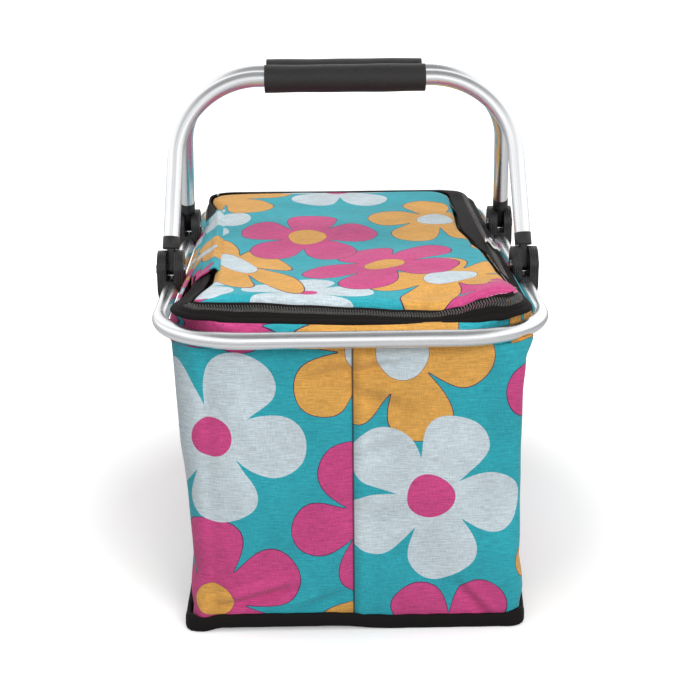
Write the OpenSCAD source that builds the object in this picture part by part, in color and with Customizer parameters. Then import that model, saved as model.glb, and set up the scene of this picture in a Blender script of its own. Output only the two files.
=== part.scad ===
// Folding insulated basket: a soft bag in an aluminium rim, with a zipped lid and two
// fold-down handles. X is the width, Y the length, Z is up. The origin is on the ground,
// under the middle. "Near" is the -Y end, "far" the +Y end, "left" the hinge side of the lid.

/* [Rim] */
// Outside width of the rim
rim_width = 285; // [250:1:320]
// Outside length of the rim
rim_length = 464; // [400:1:520]
// Height of the rim tube's axis above the ground
rim_height = 226; // [190:1:260]
// Diameter of the rim tube
rim_tube_d = 12; // [10:0.5:14]
// Wall of the rim tube
rim_tube_wall = 1.2; // [0.8:0.1:1.6]
// Radius of the rim's corners, at the tube's axis
rim_corner_r = 65; // [55:1:80]
// Length of the plug that joins the two ends of the rim tube
splice_length = 50; // [30:1:80]

/* [Handles] */
// Distance from one handle's pivot to the other's
pivot_spacing = 156; // [140:1:170]
// Height of a pivot above the rim tube's axis
pivot_rise = 14; // [13.5:0.5:16]
// Distance from the pivots to the grip's axis
handle_reach = 149; // [130:1:160]
// Diameter of the handle tube
handle_tube_d = 12.5; // [10:0.5:13.5]
// Wall of the handle tube
handle_tube_wall = 1; // [0.8:0.1:1.5]
// Radius of the handle's bends, at the tube's axis
bend_r = 66; // [50:1:75]
// Angle by which each leg leans towards the other, in the handle's own plane
leg_taper = 3; // [0:0.5:4]
// Angle from upright at which a handle stands, towards the middle of the basket
handle_lean = 22; // [18:1:24]
// Length of a grip
grip_length = 126; // [90:1:130]
// Diameter of a grip
grip_d = 22; // [18:0.5:24]

/* [Pivots] */
// Radius of a bracket's round ears, around the pivot
ear_r = 14.5; // [12:0.5:15]
// Thickness of one ear
ear_thickness = 6.75; // [5:0.25:8]
// Thickness of the tongue between the ears
tongue_thickness = 5.4; // [4:0.2:6]
// Radius of the tongue's round end
tongue_r = 4.6; // [4:0.1:4.8]
// Thickness of the bridge between the ears, over the rim tube
bridge_thickness = 1.5; // [1:0.1:1.6]
// How far the outer ear's skirt reaches below the tube's axis
skirt_drop = 11; // [7:0.5:14]
// How far the inner ear reaches below the tube's axis
inner_drop = 5; // [2:0.5:7]
// Diameter of the pivot pin
pin_d = 4; // [3:0.25:5]
// Diameter of the pivot pin's heads
pin_head_d = 6.8; // [5.5:0.1:8]
// Height of the pivot pin's outer head
pin_head_h = 2; // [1:0.1:3]
// Height of the pivot pin's inner head
pin_inner_head_h = 1.2; // [0.6:0.1:1.6]
// Distance from the pivot to the lower end of the knuckle's collar
collar_start = 15.5; // [15.5:0.5:20]
// Height of the knuckle's collar
collar_height = 9.5; // [6:0.5:14]
// How far the collar stands out past the tube, on the radius
collar_step = 0.3; // [0:0.1:0.5]
// Length of the knuckle's plug inside the handle tube
plug_length = 15; // [8:1:25]
// Diameter of the screw that holds a bracket to the rim tube
screw_d = 3; // [2.5:0.1:4]
// Diameter of the screw's head
screw_head_d = 5.4; // [4.5:0.1:5.6]
// Height of the screw's head
screw_head_h = 1.5; // [1:0.1:1.6]
// Length of the screw below its head
screw_length = 6; // [4:0.5:9]

/* [Bag] */
// Thickness of the printed outer fabric
fabric_thickness = 0.8; // [0.5:0.1:1.2]
// Thickness of the foam in the walls
wall_foam_thickness = 4; // [3:0.5:6]
// Thickness of the lining
lining_thickness = 0.5; // [0.3:0.1:0.8]
// How much the outside of the bag comes in from top to bottom, on each side
wall_taper = 5.6; // [0:0.2:12]
// Radius of the bag's corners at the bottom, outside
base_corner_r = 10; // [8:1:30]
// Radius of the bag's corners at the top, outside, under the rim
top_corner_r = 14; // [10:1:50]
// Thickness of the collar inside the rim
collar_wall = 2.5; // [1.5:0.1:4]
// Height of the collar's top above the rim tube's axis
collar_rise = 7.8; // [6.5:0.1:12]
// Height of the collar's bottom below the rim tube
collar_drop = 1.7; // [1.2:0.1:8]
// Thickness of the stiff board in the base
board_thickness = 3; // [2:0.5:5]
// Thickness of the binding round the bottom edge
binding_thickness = 2.8; // [1.5:0.1:4]
// Height of the binding round the bottom edge
binding_height = 7.6; // [4:0.2:12]

/* [Lid and zip] */
// Width of the sloping border, from the collar up to the edge of the lid
border_width = 15.6; // [14:0.2:22]
// Slope of the border
border_slope = 30; // [15:1:40]
// Thickness of the zip's tape
tape_thickness = 1; // [0.6:0.1:1.4]
// Width of the zip's lower tape with its edging
lower_tape_width = 8.1; // [7:0.1:10]
// Diameter of one row of the zip's coil
coil_d = 2.2; // [1.6:0.1:2.8]
// Height by which the lid swells in the middle
lid_crown = 3.6; // [1:0.2:8]
// Thickness of the lid's foam
lid_foam_thickness = 4.5; // [2:0.5:7]
// Length of the sewn fold that the lid turns on, between the two ends of the zip
fold_length = 190; // [176:1:230]
// Share of a left corner, in degrees, that the lid's half of the zip goes round
zip_corner_angle = 54; // [40:1:58]
// Where the slider stands along the right side, from the middle
slider_place = -8; // [-40:1:40]
// Length of the slider
slider_length = 13; // [10:0.5:16]
// Width of the slider
slider_width = 8; // [6.5:0.25:9]
// Length of the slider's pull
pull_length = 27; // [18:1:30]
// Width of the slider's pull
pull_width = 7; // [5:0.25:7]
// Angle by which the pull points outwards
pull_yaw = 6; // [0:1:8]

/* [Fits] */
// Gap between soft pieces, and between pieces of different bodies
gap = 0.3; // [0.2:0.05:0.5]
// Gap on the radius between a pin, plug or tube and its hole
fit = 0.05; // [0.02:0.01:0.1]

/* [Hidden] */
$fn = 48;
eps = 0.01;

// The rim tube's axis is a rounded rectangle with these half sizes.
rim_x = (rim_width - rim_tube_d) / 2;
rim_y = (rim_length - rim_tube_d) / 2;
corner_x = rim_x - rim_corner_r;
corner_y = rim_y - rim_corner_r;
rim_tube_r = rim_tube_d / 2;

// Pivots, in the brackets on the long sides.
pivot_y = pivot_spacing / 2;
pivot_z = rim_height + pivot_rise;
slot_half = tongue_thickness / 2 + gap;
bracket_half = slot_half + ear_thickness;
bridge_top = rim_tube_r + fit + bridge_thickness;
// Half widths of the lower ends of a bracket's outer and inner ears.
outer_foot = 6;
inner_foot = 11.5;

// A handle in its own frame: the pivots' axis is X, and the legs go up along Z.
leg_base = 20;
handle_tube_r = handle_tube_d / 2;
tube_start = collar_start + collar_height - leg_base;
bend_step = 0.02;
bend_z = handle_reach - bend_r;
bend_start_z = bend_z + bend_r * sin(leg_taper);
leg_length = (bend_start_z - leg_base) / cos(leg_taper);
bend_x = rim_x - leg_length * sin(leg_taper) - bend_r * cos(leg_taper);

// Distances measured inwards from the rim tube's axis are called "inset" below.
collar_inset = bracket_half + gap;
collar_bottom_z = rim_height - rim_tube_r - collar_drop;
wall_top_z = collar_bottom_z - gap;
wall_bottom_z = fabric_thickness + gap;
collar_corner_r = rim_corner_r - collar_inset;
collar_top_z = rim_height + collar_rise;
foam_depth = fabric_thickness;
lining_depth = foam_depth + wall_foam_thickness;
inside_depth = lining_depth + lining_thickness;
base_x = rim_x - collar_inset - wall_taper;
base_y = rim_y - collar_inset - wall_taper;
taper_at_binding = wall_taper * (binding_height - wall_bottom_z) / (wall_top_z - wall_bottom_z);
binding_gap = gap + taper_at_binding;
// The bag's corners are rounded in steps of this angle.
turn_step = 7.5;

// The border slopes up and inwards from the collar to the lid, and carries the zip.
border_inset = collar_inset + gap;
border_z = collar_top_z + gap + tape_thickness / cos(border_slope);
lid_inset = border_inset + border_width * cos(border_slope);
lid_edge_z = border_z + border_width * sin(border_slope);
lid_x = rim_x - lid_inset;
lid_y = rim_y - lid_inset;
lid_corner_r = rim_corner_r - lid_inset;
// The lid's crown is flat in the middle, from this distance in.
lid_top_inset = 50;
lid_solid_depth = 10;
coil_r = coil_d / 2;
coil_lift = 0.2;
coil_gap = 0.1;
lower_coil_s = lower_tape_width + coil_gap + coil_r;
upper_coil_s = lower_coil_s + coil_d + gap;
upper_tape_s = upper_coil_s + coil_r + coil_gap;
chain_s = (lower_coil_s + upper_coil_s) / 2;
// The strips beside the lid stop short of its edge, at their undersides too.
strip_end_s = border_width - gap / cos(border_slope) - tape_thickness * tan(border_slope);
zip_end_y = fold_length / 2 + gap;

// The slider runs over the two coils. Heights are above the border's slope.
slider_plate_z = coil_lift + coil_r + gap;
slider_plate_t = 1.2;
slider_top_z = slider_plate_z + slider_plate_t;
slider_flange = 1.2;
bail_width = 2;
bail_length = 8;
bail_post = 1.4;
bail_bar = 1;
bail_window = 1.2;
pull_t = 1;
pull_axis_y = -1.3;
pull_axis_z = slider_top_z + bail_window / 2;
pull_hole_w = 3.4;
pull_hole_l = 4.6;

// ---- Shared shapes ----

// A rectangle with round corners, from its half sizes and its corner radius.
module rounded_rect(half_x, half_y, r) {
    square([2 * (half_x - r), 2 * half_y], center = true);
    square([2 * half_x, 2 * (half_y - r)], center = true);
    for (sx = [-1, 1], sy = [-1, 1])
        translate([sx * (half_x - r), sy * (half_y - r)]) circle(r);
}

// A straight tube along Z.
module tube(length, r, wall) {
    linear_extrude(length) difference() {
        circle(r);
        circle(r - wall);
    }
}

// A bent tube in the XY plane, from the X axis through the given angle.
module tube_bend(bend, angle, r, wall) {
    rotate_extrude(angle = angle, $fn = 96) translate([bend, 0]) difference() {
        circle(r);
        circle(r - wall);
    }
}

// Puts a profile of (inset, height) along one long side, between two values of y.
module along_side(side, y0, y1) {
    mirror([side < 0 ? 1 : 0, 0, 0])
        translate([rim_x, y1, 0]) rotate([90, 0, 0]) linear_extrude(y1 - y0)
            mirror([1, 0]) children();
}

// Puts a profile of (inset, height) along the near end (-1) or the far end (1).
module along_end(end) {
    mirror([0, end > 0 ? 0 : 1, 0])
        translate([-corner_x, rim_y, 0]) rotate([90, 0, 90]) linear_extrude(2 * corner_x)
            mirror([1, 0]) children();
}

// Puts a profile of (inset, height) round one corner, starting at its end or at its side.
module along_corner(side, end, angle = 90, from_side = false) {
    mirror([side < 0 ? 1 : 0, 0, 0]) mirror([0, end < 0 ? 1 : 0, 0])
        translate([corner_x, corner_y, 0]) mirror(from_side ? [0, 0, 0] : [1, -1, 0])
            rotate_extrude(angle = angle, $fn = 96)
                translate([rim_corner_r, 0]) mirror([1, 0]) children();
}

// A point of the border, and a strip of it between two distances up its slope.
function border_point(s, depth) = [
    border_inset + s * cos(border_slope) + depth * sin(border_slope),
    border_z + s * sin(border_slope) - depth * cos(border_slope)
];
module border_strip(s0, s1, depth) {
    polygon([
        border_point(s0, 0), border_point(s1, 0), border_point(s1, depth), border_point(s0, depth)
    ]);
}
module coil_profile(s) {
    translate(border_point(s, -coil_lift)) circle(coil_r);
}

// The bag's outline at one height, at some depth inside its outer face. Its corners are numbered
// from +X +Y round past +Y.
function corner_points(half_x, half_y, r, corner) =
    let (side = corner == 0 || corner == 3 ? 1 : -1, end = corner < 2 ? 1 : -1)
    [for (turn = [0:turn_step:90])
        let (a = 90 * corner + turn)
            [side * (half_x - r) + r * cos(a), end * (half_y - r) + r * sin(a)]];
function ring_outline(half_x, half_y, r) =
    [for (corner = [0:3]) each corner_points(half_x, half_y, r, corner)];
// Half of the outline, from the middle seam of one end round one side to the other end's seam.
function half_outline(half_x, half_y, r, side) =
    let (first = side < 0 ? 1 : 3)
    concat(
        [[side * gap / 2, -side * half_y]],
        corner_points(half_x, half_y, r, first), corner_points(half_x, half_y, r, (first + 1) % 4),
        [[side * gap / 2, side * half_y]]
    );
function bag_outline(share, depth, side) =
    let (half_x = base_x + share * wall_taper - depth, half_y = base_y + share * wall_taper - depth,
        r = base_corner_r + share * (top_corner_r - base_corner_r) - depth)
    side == 0 ? ring_outline(half_x, half_y, r) : half_outline(half_x, half_y, r, side);
function raised(outline, z) = [for (p = outline) [p[0], p[1], z]];

// One layer of the bag's wall: all the way round, or only the half on one side.
module bag_layer(depth, thickness, side = 0) {
    outer = bag_outline(0, depth, side);
    n = len(outer);
    points = concat(
        raised(outer, wall_bottom_z), raised(bag_outline(1, depth, side), wall_top_z),
        raised(bag_outline(0, depth + thickness, side), wall_bottom_z),
        raised(bag_outline(1, depth + thickness, side), wall_top_z)
    );
    steps = [for (i = [0:n - (side == 0 ? 1 : 2)]) [i, (i + 1) % n]];
    faces = concat(
        [for (s = steps) [s[0], n + s[0], n + s[1], s[1]]],
        [for (s = steps) [2 * n + s[1], 3 * n + s[1], 3 * n + s[0], 2 * n + s[0]]],
        [for (s = steps) [n + s[0], 3 * n + s[0], 3 * n + s[1], n + s[1]]],
        [for (s = steps) [s[0], s[1], 2 * n + s[1], 2 * n + s[0]]],
        side == 0 ? [] : [[2 * n, 3 * n, n, 0], [n - 1, 2 * n - 1, 4 * n - 1, 3 * n - 1]]
    );
    polyhedron(points, faces, convexity = 4);
}

// The lid's dome at some depth under its top, solid for some way down, and one layer of it.
module lid_dome(depth, inset) {
    hull() {
        translate([0, 0, lid_edge_z - depth - lid_solid_depth]) linear_extrude(lid_solid_depth)
            rounded_rect(lid_x - inset, lid_y - inset, lid_corner_r - inset);
        translate([0, 0, lid_edge_z - depth + lid_crown - eps]) linear_extrude(eps)
            rounded_rect(lid_x - lid_top_inset, lid_y - lid_top_inset, lid_corner_r);
    }
}
module lid_layer(depth, thickness, inset) {
    difference() {
        lid_dome(depth, inset);
        lid_dome(depth + thickness, inset - eps);
    }
}

// ---- Rim ----

module rim_path_tube(r, wall) {
    translate([0, 0, rim_height]) {
        for (side = [-1, 1])
            translate([side * rim_x, corner_y, 0]) rotate([90, 0, 0]) tube(2 * corner_y, r, wall);
        for (end = [-1, 1])
            translate([-corner_x, end * rim_y, 0]) rotate([0, 90, 0]) tube(2 * corner_x, r, wall);
        for (i = [0:3])
            translate([(i == 0 || i == 3 ? 1 : -1) * corner_x, (i < 2 ? 1 : -1) * corner_y, 0])
                rotate(90 * i) tube_bend(rim_corner_r, 90, r, wall);
    }
}

module rim_tube() {
    color("silver") difference() {
        rim_path_tube(rim_tube_r, rim_tube_wall);
        translate([-gap / 2, rim_y - rim_tube_d, rim_height - rim_tube_d])
            cube([gap, 2 * rim_tube_d, 2 * rim_tube_d]);
        for (side = [-1, 1], end = [-1, 1])
            translate([side * rim_x, end * pivot_y, rim_height])
                cylinder(h = rim_tube_d, r = screw_d / 2 + fit);
    }
}

module rim_splice() {
    color("gray") translate([-splice_length / 2, rim_y, rim_height]) rotate([0, 90, 0])
        cylinder(h = splice_length, r = rim_tube_r - rim_tube_wall - fit);
}

// ---- Brackets ----

// A bracket in its own frame: the rim tube's axis is Y, the outside is +X, Z is up.
module ear_outline(drop, foot) {
    translate([0, pivot_rise]) circle(ear_r);
    polygon([
        [-ear_r, pivot_rise], [ear_r, pivot_rise], [ear_r, 0], [foot, -drop], [-foot, -drop], [-ear_r, 0]
    ]);
}

module bracket_shape() {
    difference() {
        union() {
            translate([-bracket_half, 0, 0]) rotate([90, 0, 90]) linear_extrude(bracket_half + eps)
                ear_outline(inner_drop, inner_foot);
            rotate([90, 0, 90]) linear_extrude(bracket_half) ear_outline(skirt_drop, outer_foot);
        }
        translate([-slot_half, -2 * ear_r, bridge_top]) cube([2 * slot_half, 4 * ear_r, 4 * ear_r]);
        translate([0, 2 * ear_r, 0]) rotate([90, 0, 0]) cylinder(h = 4 * ear_r, r = rim_tube_r + fit);
        translate([-rim_tube_r - fit, -2 * ear_r, -2 * skirt_drop])
            cube([2 * (rim_tube_r + fit), 4 * ear_r, 2 * skirt_drop]);
        translate([-2 * bracket_half, 0, pivot_rise]) rotate([0, 90, 0])
            cylinder(h = 4 * bracket_half, r = pin_d / 2 + fit);
        cylinder(h = 2 * ear_r, r = screw_d / 2 + fit);
    }
}

module at_bracket(side, end) {
    translate([side * rim_x, end * pivot_y, rim_height]) mirror([side < 0 ? 1 : 0, 0, 0]) children();
}

module bracket(side, end) {
    color([0.13, 0.13, 0.14]) at_bracket(side, end) bracket_shape();
}

module pivot_pins() {
    color([0.1, 0.1, 0.11]) for (side = [-1, 1], end = [-1, 1])
        at_bracket(side, end) translate([0, 0, pivot_rise]) rotate([0, 90, 0]) {
            translate([0, 0, -bracket_half]) cylinder(h = 2 * bracket_half, r = pin_d / 2);
            translate([0, 0, bracket_half]) cylinder(h = pin_head_h, r = pin_head_d / 2);
            translate([0, 0, -bracket_half - pin_inner_head_h])
                cylinder(h = pin_inner_head_h, r = pin_head_d / 2);
        }
}

module bracket_screws() {
    color("lightgray") for (side = [-1, 1], end = [-1, 1])
        at_bracket(side, end) translate([0, 0, bridge_top]) {
            cylinder(h = screw_head_h, r = screw_head_d / 2);
            translate([0, 0, -screw_length]) cylinder(h = screw_length + eps, r = screw_d / 2);
        }
}

// ---- Handles ----

// Puts a handle's own frame at the near (-1) or the far (1) pivots, leaning inwards.
module at_handle(end) {
    translate([0, end * pivot_y, pivot_z]) rotate([end * handle_lean, 0, 0]) children();
}

// The frame of one leg: Z runs up the leg's axis, and the origin is at leg_base.
module at_leg(side) {
    mirror([side < 0 ? 1 : 0, 0, 0]) translate([rim_x, 0, leg_base]) rotate([0, -leg_taper, 0]) children();
}

// A handle's tube without its bore. The straight stretches are a hair wider than the bends and run
// on into them a little, so no two faces lie in the same place.
module solid_arch(r, start) {
    straight_r = r + bend_step;
    translate([-bend_x - bend_step, 0, handle_reach]) rotate([0, 90, 0])
        cylinder(h = 2 * (bend_x + bend_step), r = straight_r);
    for (turn = [0, 180]) rotate(turn)
        translate([bend_x, 0, bend_z]) rotate([90, 0, 0]) rotate(leg_taper) {
            rotate_extrude(angle = 90 - leg_taper, $fn = 96) translate([bend_r, 0]) circle(r);
            translate([bend_r, bend_step, 0]) rotate([90, 0, 0])
                cylinder(h = leg_length - start + bend_step, r = straight_r);
        }
}

module handle_tube(end) {
    color("silver") at_handle(end) difference() {
        solid_arch(handle_tube_r, tube_start);
        solid_arch(handle_tube_r - handle_tube_wall, 0);
    }
}

module grip(end) {
    color([0.12, 0.11, 0.11]) at_handle(end)
        translate([-grip_length / 2, 0, handle_reach]) rotate([0, 90, 0])
            tube(grip_length, grip_d / 2, grip_d / 2 - handle_tube_r - fit);
}

module knuckle(side, end) {
    color([0.14, 0.14, 0.15]) at_handle(end) difference() {
        union() {
            mirror([side < 0 ? 1 : 0, 0, 0]) translate([rim_x - tongue_thickness / 2, 0, 0]) {
                rotate([0, 90, 0]) cylinder(h = tongue_thickness, r = tongue_r);
                translate([0, -tongue_r, 0]) cube([tongue_thickness, 2 * tongue_r, leg_base]);
            }
            at_leg(side) translate([0, 0, collar_start - leg_base])
                cylinder(h = collar_height, r = handle_tube_r + collar_step);
            at_leg(side) translate([0, 0, tube_start - eps])
                cylinder(h = plug_length, r = handle_tube_r - handle_tube_wall - fit);
        }
        rotate([0, 90, 0]) cylinder(h = 4 * rim_x, r = pin_d / 2 + fit, center = true);
    }
}

// ---- Bag ----

module wall_half(side) {
    color([0.25, 0.7, 0.74]) bag_layer(0, fabric_thickness, side);
}

module wall_foam() {
    color("white") bag_layer(foam_depth, wall_foam_thickness);
}

module wall_lining() {
    color("lightgray") bag_layer(lining_depth, lining_thickness);
}

module rim_collar() {
    half_x = rim_x - collar_inset;
    half_y = rim_y - collar_inset;
    color([0.92, 0.62, 0.3]) translate([0, 0, collar_bottom_z]) difference() {
        union() {
            linear_extrude(collar_top_z - collar_bottom_z) rounded_rect(half_x, half_y, collar_corner_r);
            // The cloth turns in under the tube, because the bag's corners are squarer than the rim's.
            linear_extrude(fabric_thickness) rounded_rect(half_x, half_y, top_corner_r);
        }
        translate([0, 0, -fabric_thickness])
            linear_extrude(collar_top_z - collar_bottom_z + 2 * fabric_thickness)
                rounded_rect(half_x - collar_wall, half_y - collar_wall, collar_corner_r - collar_wall);
    }
}

module base_panel() {
    color([0.15, 0.15, 0.15]) linear_extrude(fabric_thickness) rounded_rect(base_x, base_y, base_corner_r);
}

module base_inside(z, thickness) {
    inset = inside_depth + gap;
    translate([0, 0, z]) linear_extrude(thickness)
        rounded_rect(base_x - inset, base_y - inset, base_corner_r - inset);
}

module base_board() {
    color([0.3, 0.3, 0.3]) base_inside(wall_bottom_z, board_thickness);
}

module base_lining() {
    color("lightgray") base_inside(wall_bottom_z + board_thickness + gap, lining_thickness);
}

module base_binding() {
    color([0.08, 0.08, 0.08]) linear_extrude(binding_height) difference() {
        rounded_rect(base_x + binding_gap + binding_thickness, base_y + binding_gap + binding_thickness,
            base_corner_r + binding_gap + binding_thickness);
        rounded_rect(base_x + binding_gap, base_y + binding_gap, base_corner_r + binding_gap);
    }
}

// ---- Zip ----

// The straight stretch on the left between the fold and a corner.
module beside_fold(end) {
    from = min(end * zip_end_y, end * corner_y);
    to = max(end * zip_end_y, end * corner_y);
    along_side(-1, from, to) children();
}

// The body's half of the zip goes along three sides and on round the left corners.
module body_zip_path() {
    along_side(1, -corner_y, corner_y) children();
    for (end = [-1, 1]) {
        along_end(end) children();
        for (side = [-1, 1])
            along_corner(side, end) children();
        beside_fold(end) children();
    }
}

// The lid's half stops part of the way round the left corners.
module lid_zip_path() {
    along_side(1, -corner_y, corner_y) children();
    for (end = [-1, 1]) {
        along_end(end) children();
        along_corner(1, end) children();
        along_corner(-1, end, zip_corner_angle) children();
    }
}

module zip_lower_tape() {
    color([0.1, 0.1, 0.1]) body_zip_path() border_strip(0, lower_tape_width, tape_thickness);
}

module zip_lower_coil() {
    color([0.2, 0.2, 0.2]) body_zip_path() coil_profile(lower_coil_s);
}

module zip_upper_tape() {
    color([0.1, 0.1, 0.1]) lid_zip_path() border_strip(upper_tape_s, strip_end_s, tape_thickness);
}

module zip_upper_coil() {
    color([0.2, 0.2, 0.2]) lid_zip_path() coil_profile(upper_coil_s);
}

// The closed end of the zip, sewn down beside the fold.
module zip_end(end) {
    spare = 2 * gap / lid_corner_r * 180 / PI;
    color([0.12, 0.12, 0.12]) {
        along_corner(-1, end, 90 - zip_corner_angle - spare, true) zip_end_profile();
        beside_fold(end) zip_end_profile();
    }
}
module zip_end_profile() {
    coil_profile(upper_coil_s);
    border_strip(upper_coil_s, strip_end_s, tape_thickness);
}

// The slider's frame: X points down the border's slope and out, Y along the zip, Z away from it.
module at_slider() {
    point = border_point(chain_s, 0);
    translate([rim_x - point[0], slider_place, point[1]]) rotate([0, border_slope, 0]) children();
}

module zip_slider() {
    flange_x = (slider_width - slider_flange) / 2;
    post_y = (bail_length - bail_post) / 2;
    color([0.8, 0.8, 0.82]) at_slider() {
        translate([-slider_width / 2, -slider_length / 2, slider_plate_z])
            cube([slider_width, slider_length, slider_plate_t]);
        for (side = [-1, 1])
            translate([side * flange_x - slider_flange / 2, -slider_length / 2, gap])
                cube([slider_flange, slider_length, slider_plate_z]);
        for (end = [-1, 1])
            translate([-bail_width / 2, end * post_y - bail_post / 2, slider_top_z - eps])
                cube([bail_width, bail_post, bail_window + bail_bar]);
        translate([-bail_width / 2, -bail_length / 2, slider_top_z + bail_window])
            cube([bail_width, bail_length, bail_bar]);
    }
}

module zip_pull() {
    straight = pull_length - pull_width / 2;
    color([0.85, 0.85, 0.87]) at_slider() translate([0, pull_axis_y, pull_axis_z]) rotate(pull_yaw) {
        translate([-pull_width / 2, 0, 0]) rotate([0, 90, 0]) cylinder(h = pull_width, r = pull_t / 2);
        translate([0, 0, -pull_t / 2]) linear_extrude(pull_t) difference() {
            union() {
                translate([-pull_width / 2, -straight]) square([pull_width, straight]);
                translate([0, -straight]) circle(pull_width / 2);
            }
            translate([-pull_hole_w / 2, -pull_hole_l]) square([pull_hole_w, pull_hole_l + eps]);
        }
    }
}

// ---- Lid ----

module lid_outer() {
    color([0.9, 0.4, 0.6]) lid_layer(0, fabric_thickness, 0);
}

module lid_foam() {
    color("white") lid_layer(fabric_thickness, lid_foam_thickness, gap);
}

module lid_lining() {
    color("lightgray") lid_layer(fabric_thickness + lid_foam_thickness, lining_thickness, gap);
}

// The border where the lid is joined on: the fabric goes down over the left edge.
module lid_fold() {
    color([0.9, 0.62, 0.3])
        along_side(-1, -fold_length / 2, fold_length / 2) border_strip(0, strip_end_s, tape_thickness);
}

rim_tube();
rim_splice();
bracket(-1, -1);  // bracket_near_left
bracket(1, -1);  // bracket_near_right
bracket(-1, 1);  // bracket_far_left
bracket(1, 1);  // bracket_far_right
pivot_pins();
bracket_screws();
handle_tube(-1);  // handle_tube_near
handle_tube(1);  // handle_tube_far
grip(-1);  // grip_near
grip(1);  // grip_far
knuckle(-1, -1);  // knuckle_near_left
knuckle(1, -1);  // knuckle_near_right
knuckle(-1, 1);  // knuckle_far_left
knuckle(1, 1);  // knuckle_far_right
wall_half(-1);  // wall_left
wall_half(1);  // wall_right
wall_foam();
wall_lining();
rim_collar();
base_panel();
base_board();
base_lining();
base_binding();
zip_lower_tape();
zip_lower_coil();
zip_upper_tape();
zip_upper_coil();
zip_end(-1);  // zip_end_near
zip_end(1);  // zip_end_far
zip_slider();
zip_pull();
lid_outer();
lid_foam();
lid_lining();
lid_fold();
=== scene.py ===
# Folding insulated basket: the looks of each piece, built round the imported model.
import math

import bmesh
import bpy
from mathutils import Matrix, Vector
from mathutils.noise import noise as unevenness


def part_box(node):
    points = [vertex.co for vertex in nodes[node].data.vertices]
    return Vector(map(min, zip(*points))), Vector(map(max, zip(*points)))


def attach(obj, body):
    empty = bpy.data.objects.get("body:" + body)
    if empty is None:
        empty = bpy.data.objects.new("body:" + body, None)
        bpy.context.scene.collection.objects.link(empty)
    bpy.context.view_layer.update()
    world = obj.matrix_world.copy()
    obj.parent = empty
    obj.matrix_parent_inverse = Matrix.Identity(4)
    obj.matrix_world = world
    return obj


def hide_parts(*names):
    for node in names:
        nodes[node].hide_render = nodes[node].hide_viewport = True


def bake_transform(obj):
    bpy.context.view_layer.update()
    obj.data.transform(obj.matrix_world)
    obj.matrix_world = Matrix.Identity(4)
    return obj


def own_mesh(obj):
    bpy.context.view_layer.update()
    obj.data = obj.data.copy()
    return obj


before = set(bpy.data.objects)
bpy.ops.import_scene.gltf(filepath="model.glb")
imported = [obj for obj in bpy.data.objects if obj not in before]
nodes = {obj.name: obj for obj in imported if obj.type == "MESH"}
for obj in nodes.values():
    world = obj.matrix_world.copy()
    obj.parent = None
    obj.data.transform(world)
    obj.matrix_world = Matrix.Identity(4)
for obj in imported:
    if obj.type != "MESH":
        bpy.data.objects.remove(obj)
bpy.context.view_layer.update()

mm = 0.001


# ---- Rim ----
# The rim is one bare aluminium tube, bent into a rounded rectangle. Its ends meet in the middle
# of the far end, over a splice pushed into both. Drawing leaves fine streaks along the tube, and
# handling wears it to a satin sheen.

rim_low, rim_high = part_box("rim_tube")
rim_tube_r = (rim_high.z - rim_low.z) / 2
rim_x = rim_high.x - rim_tube_r
rim_y = rim_high.y - rim_tube_r
rim_z = (rim_high.z + rim_low.z) / 2
rim_bend_r = 65 * mm


def plug(value, socket):
    """Feeds a socket from another node's socket, or sets it to a plain value."""
    if isinstance(value, bpy.types.NodeSocket):
        socket.id_data.links.new(value, socket)
    else:
        socket.default_value = value


def shade(kind, values, output, **settings):
    """Adds a shader node beside the sockets that feed it, and gives one of its outputs."""
    tree = next(value.id_data for value in values.values() if isinstance(value, bpy.types.NodeSocket))
    made = tree.nodes.new("ShaderNode" + kind)
    for name, setting in settings.items():
        setattr(made, name, setting)
    for name, value in values.items():
        plug(value, made.inputs[name])
    return made.outputs[output]


def calc(operation, *values):
    """One sum on single numbers."""
    return shade("Math", dict(enumerate(values)), "Value", operation=operation)


def times(first, second):
    return calc("MULTIPLY", first, second)


def vector_calc(operation, *values):
    """One sum on vectors; gives the vector, or the number where the answer is one."""
    single = operation in ("LENGTH", "DOT_PRODUCT")
    return shade("VectorMath", dict(enumerate(values)), "Value" if single else "Vector", operation=operation)


def join_xyz(x, y, z):
    return shade("CombineXYZ", {0: x, 1: y, 2: z}, "Vector")


def split_xyz(vector):
    return tuple(shade("SeparateXYZ", {0: vector}, 0).node.outputs)


def noise(vector, scale, detail=2.0, roughness=0.5):
    """Mottling at a scale. A scale in three parts stretches it along the axes."""
    if isinstance(scale, tuple):
        vector, scale = vector_calc("MULTIPLY", vector, scale), 1.0
    given = {"Vector": vector, "Scale": scale, "Detail": detail, "Roughness": roughness}
    return shade("TexNoise", given, "Fac")


def remap(value, low, high, to_low=0.0, to_high=1.0):
    """Stretches low..high to to_low..to_high and stops at both ends."""
    given = {"Value": value, "From Min": low, "From Max": high, "To Min": to_low, "To Max": to_high}
    return shade("MapRange", given, "Result")


def mix_colours(share, first, second):
    return shade("Mix", {0: share, 6: first, 7: second}, 2, data_type="RGBA")


def start_material(name):
    """A new material, its shader, and the place on the piece in metres."""
    material = bpy.data.materials.new(name)
    material.use_nodes = True
    tree = material.node_tree
    return material, tree.nodes["Principled BSDF"], tree.nodes.new("ShaderNodeTexCoord").outputs["Object"]


def coat(shader, colour, roughness, height, depth, strength=1.0):
    """Gives a shader its colour, its roughness and the fine relief of its skin."""
    plug(colour, shader.inputs["Base Color"])
    plug(roughness, shader.inputs["Roughness"])
    relief = shade("Bump", {"Height": height, "Distance": depth, "Strength": strength}, "Normal")
    plug(relief, shader.inputs["Normal"])


def wear(piece, material):
    """Gives a piece, or a solid kept from the model, one material all over."""
    piece.data.materials.clear()
    piece.data.materials.append(material)
    for face in piece.data.polygons:
        face.material_index = 0


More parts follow.
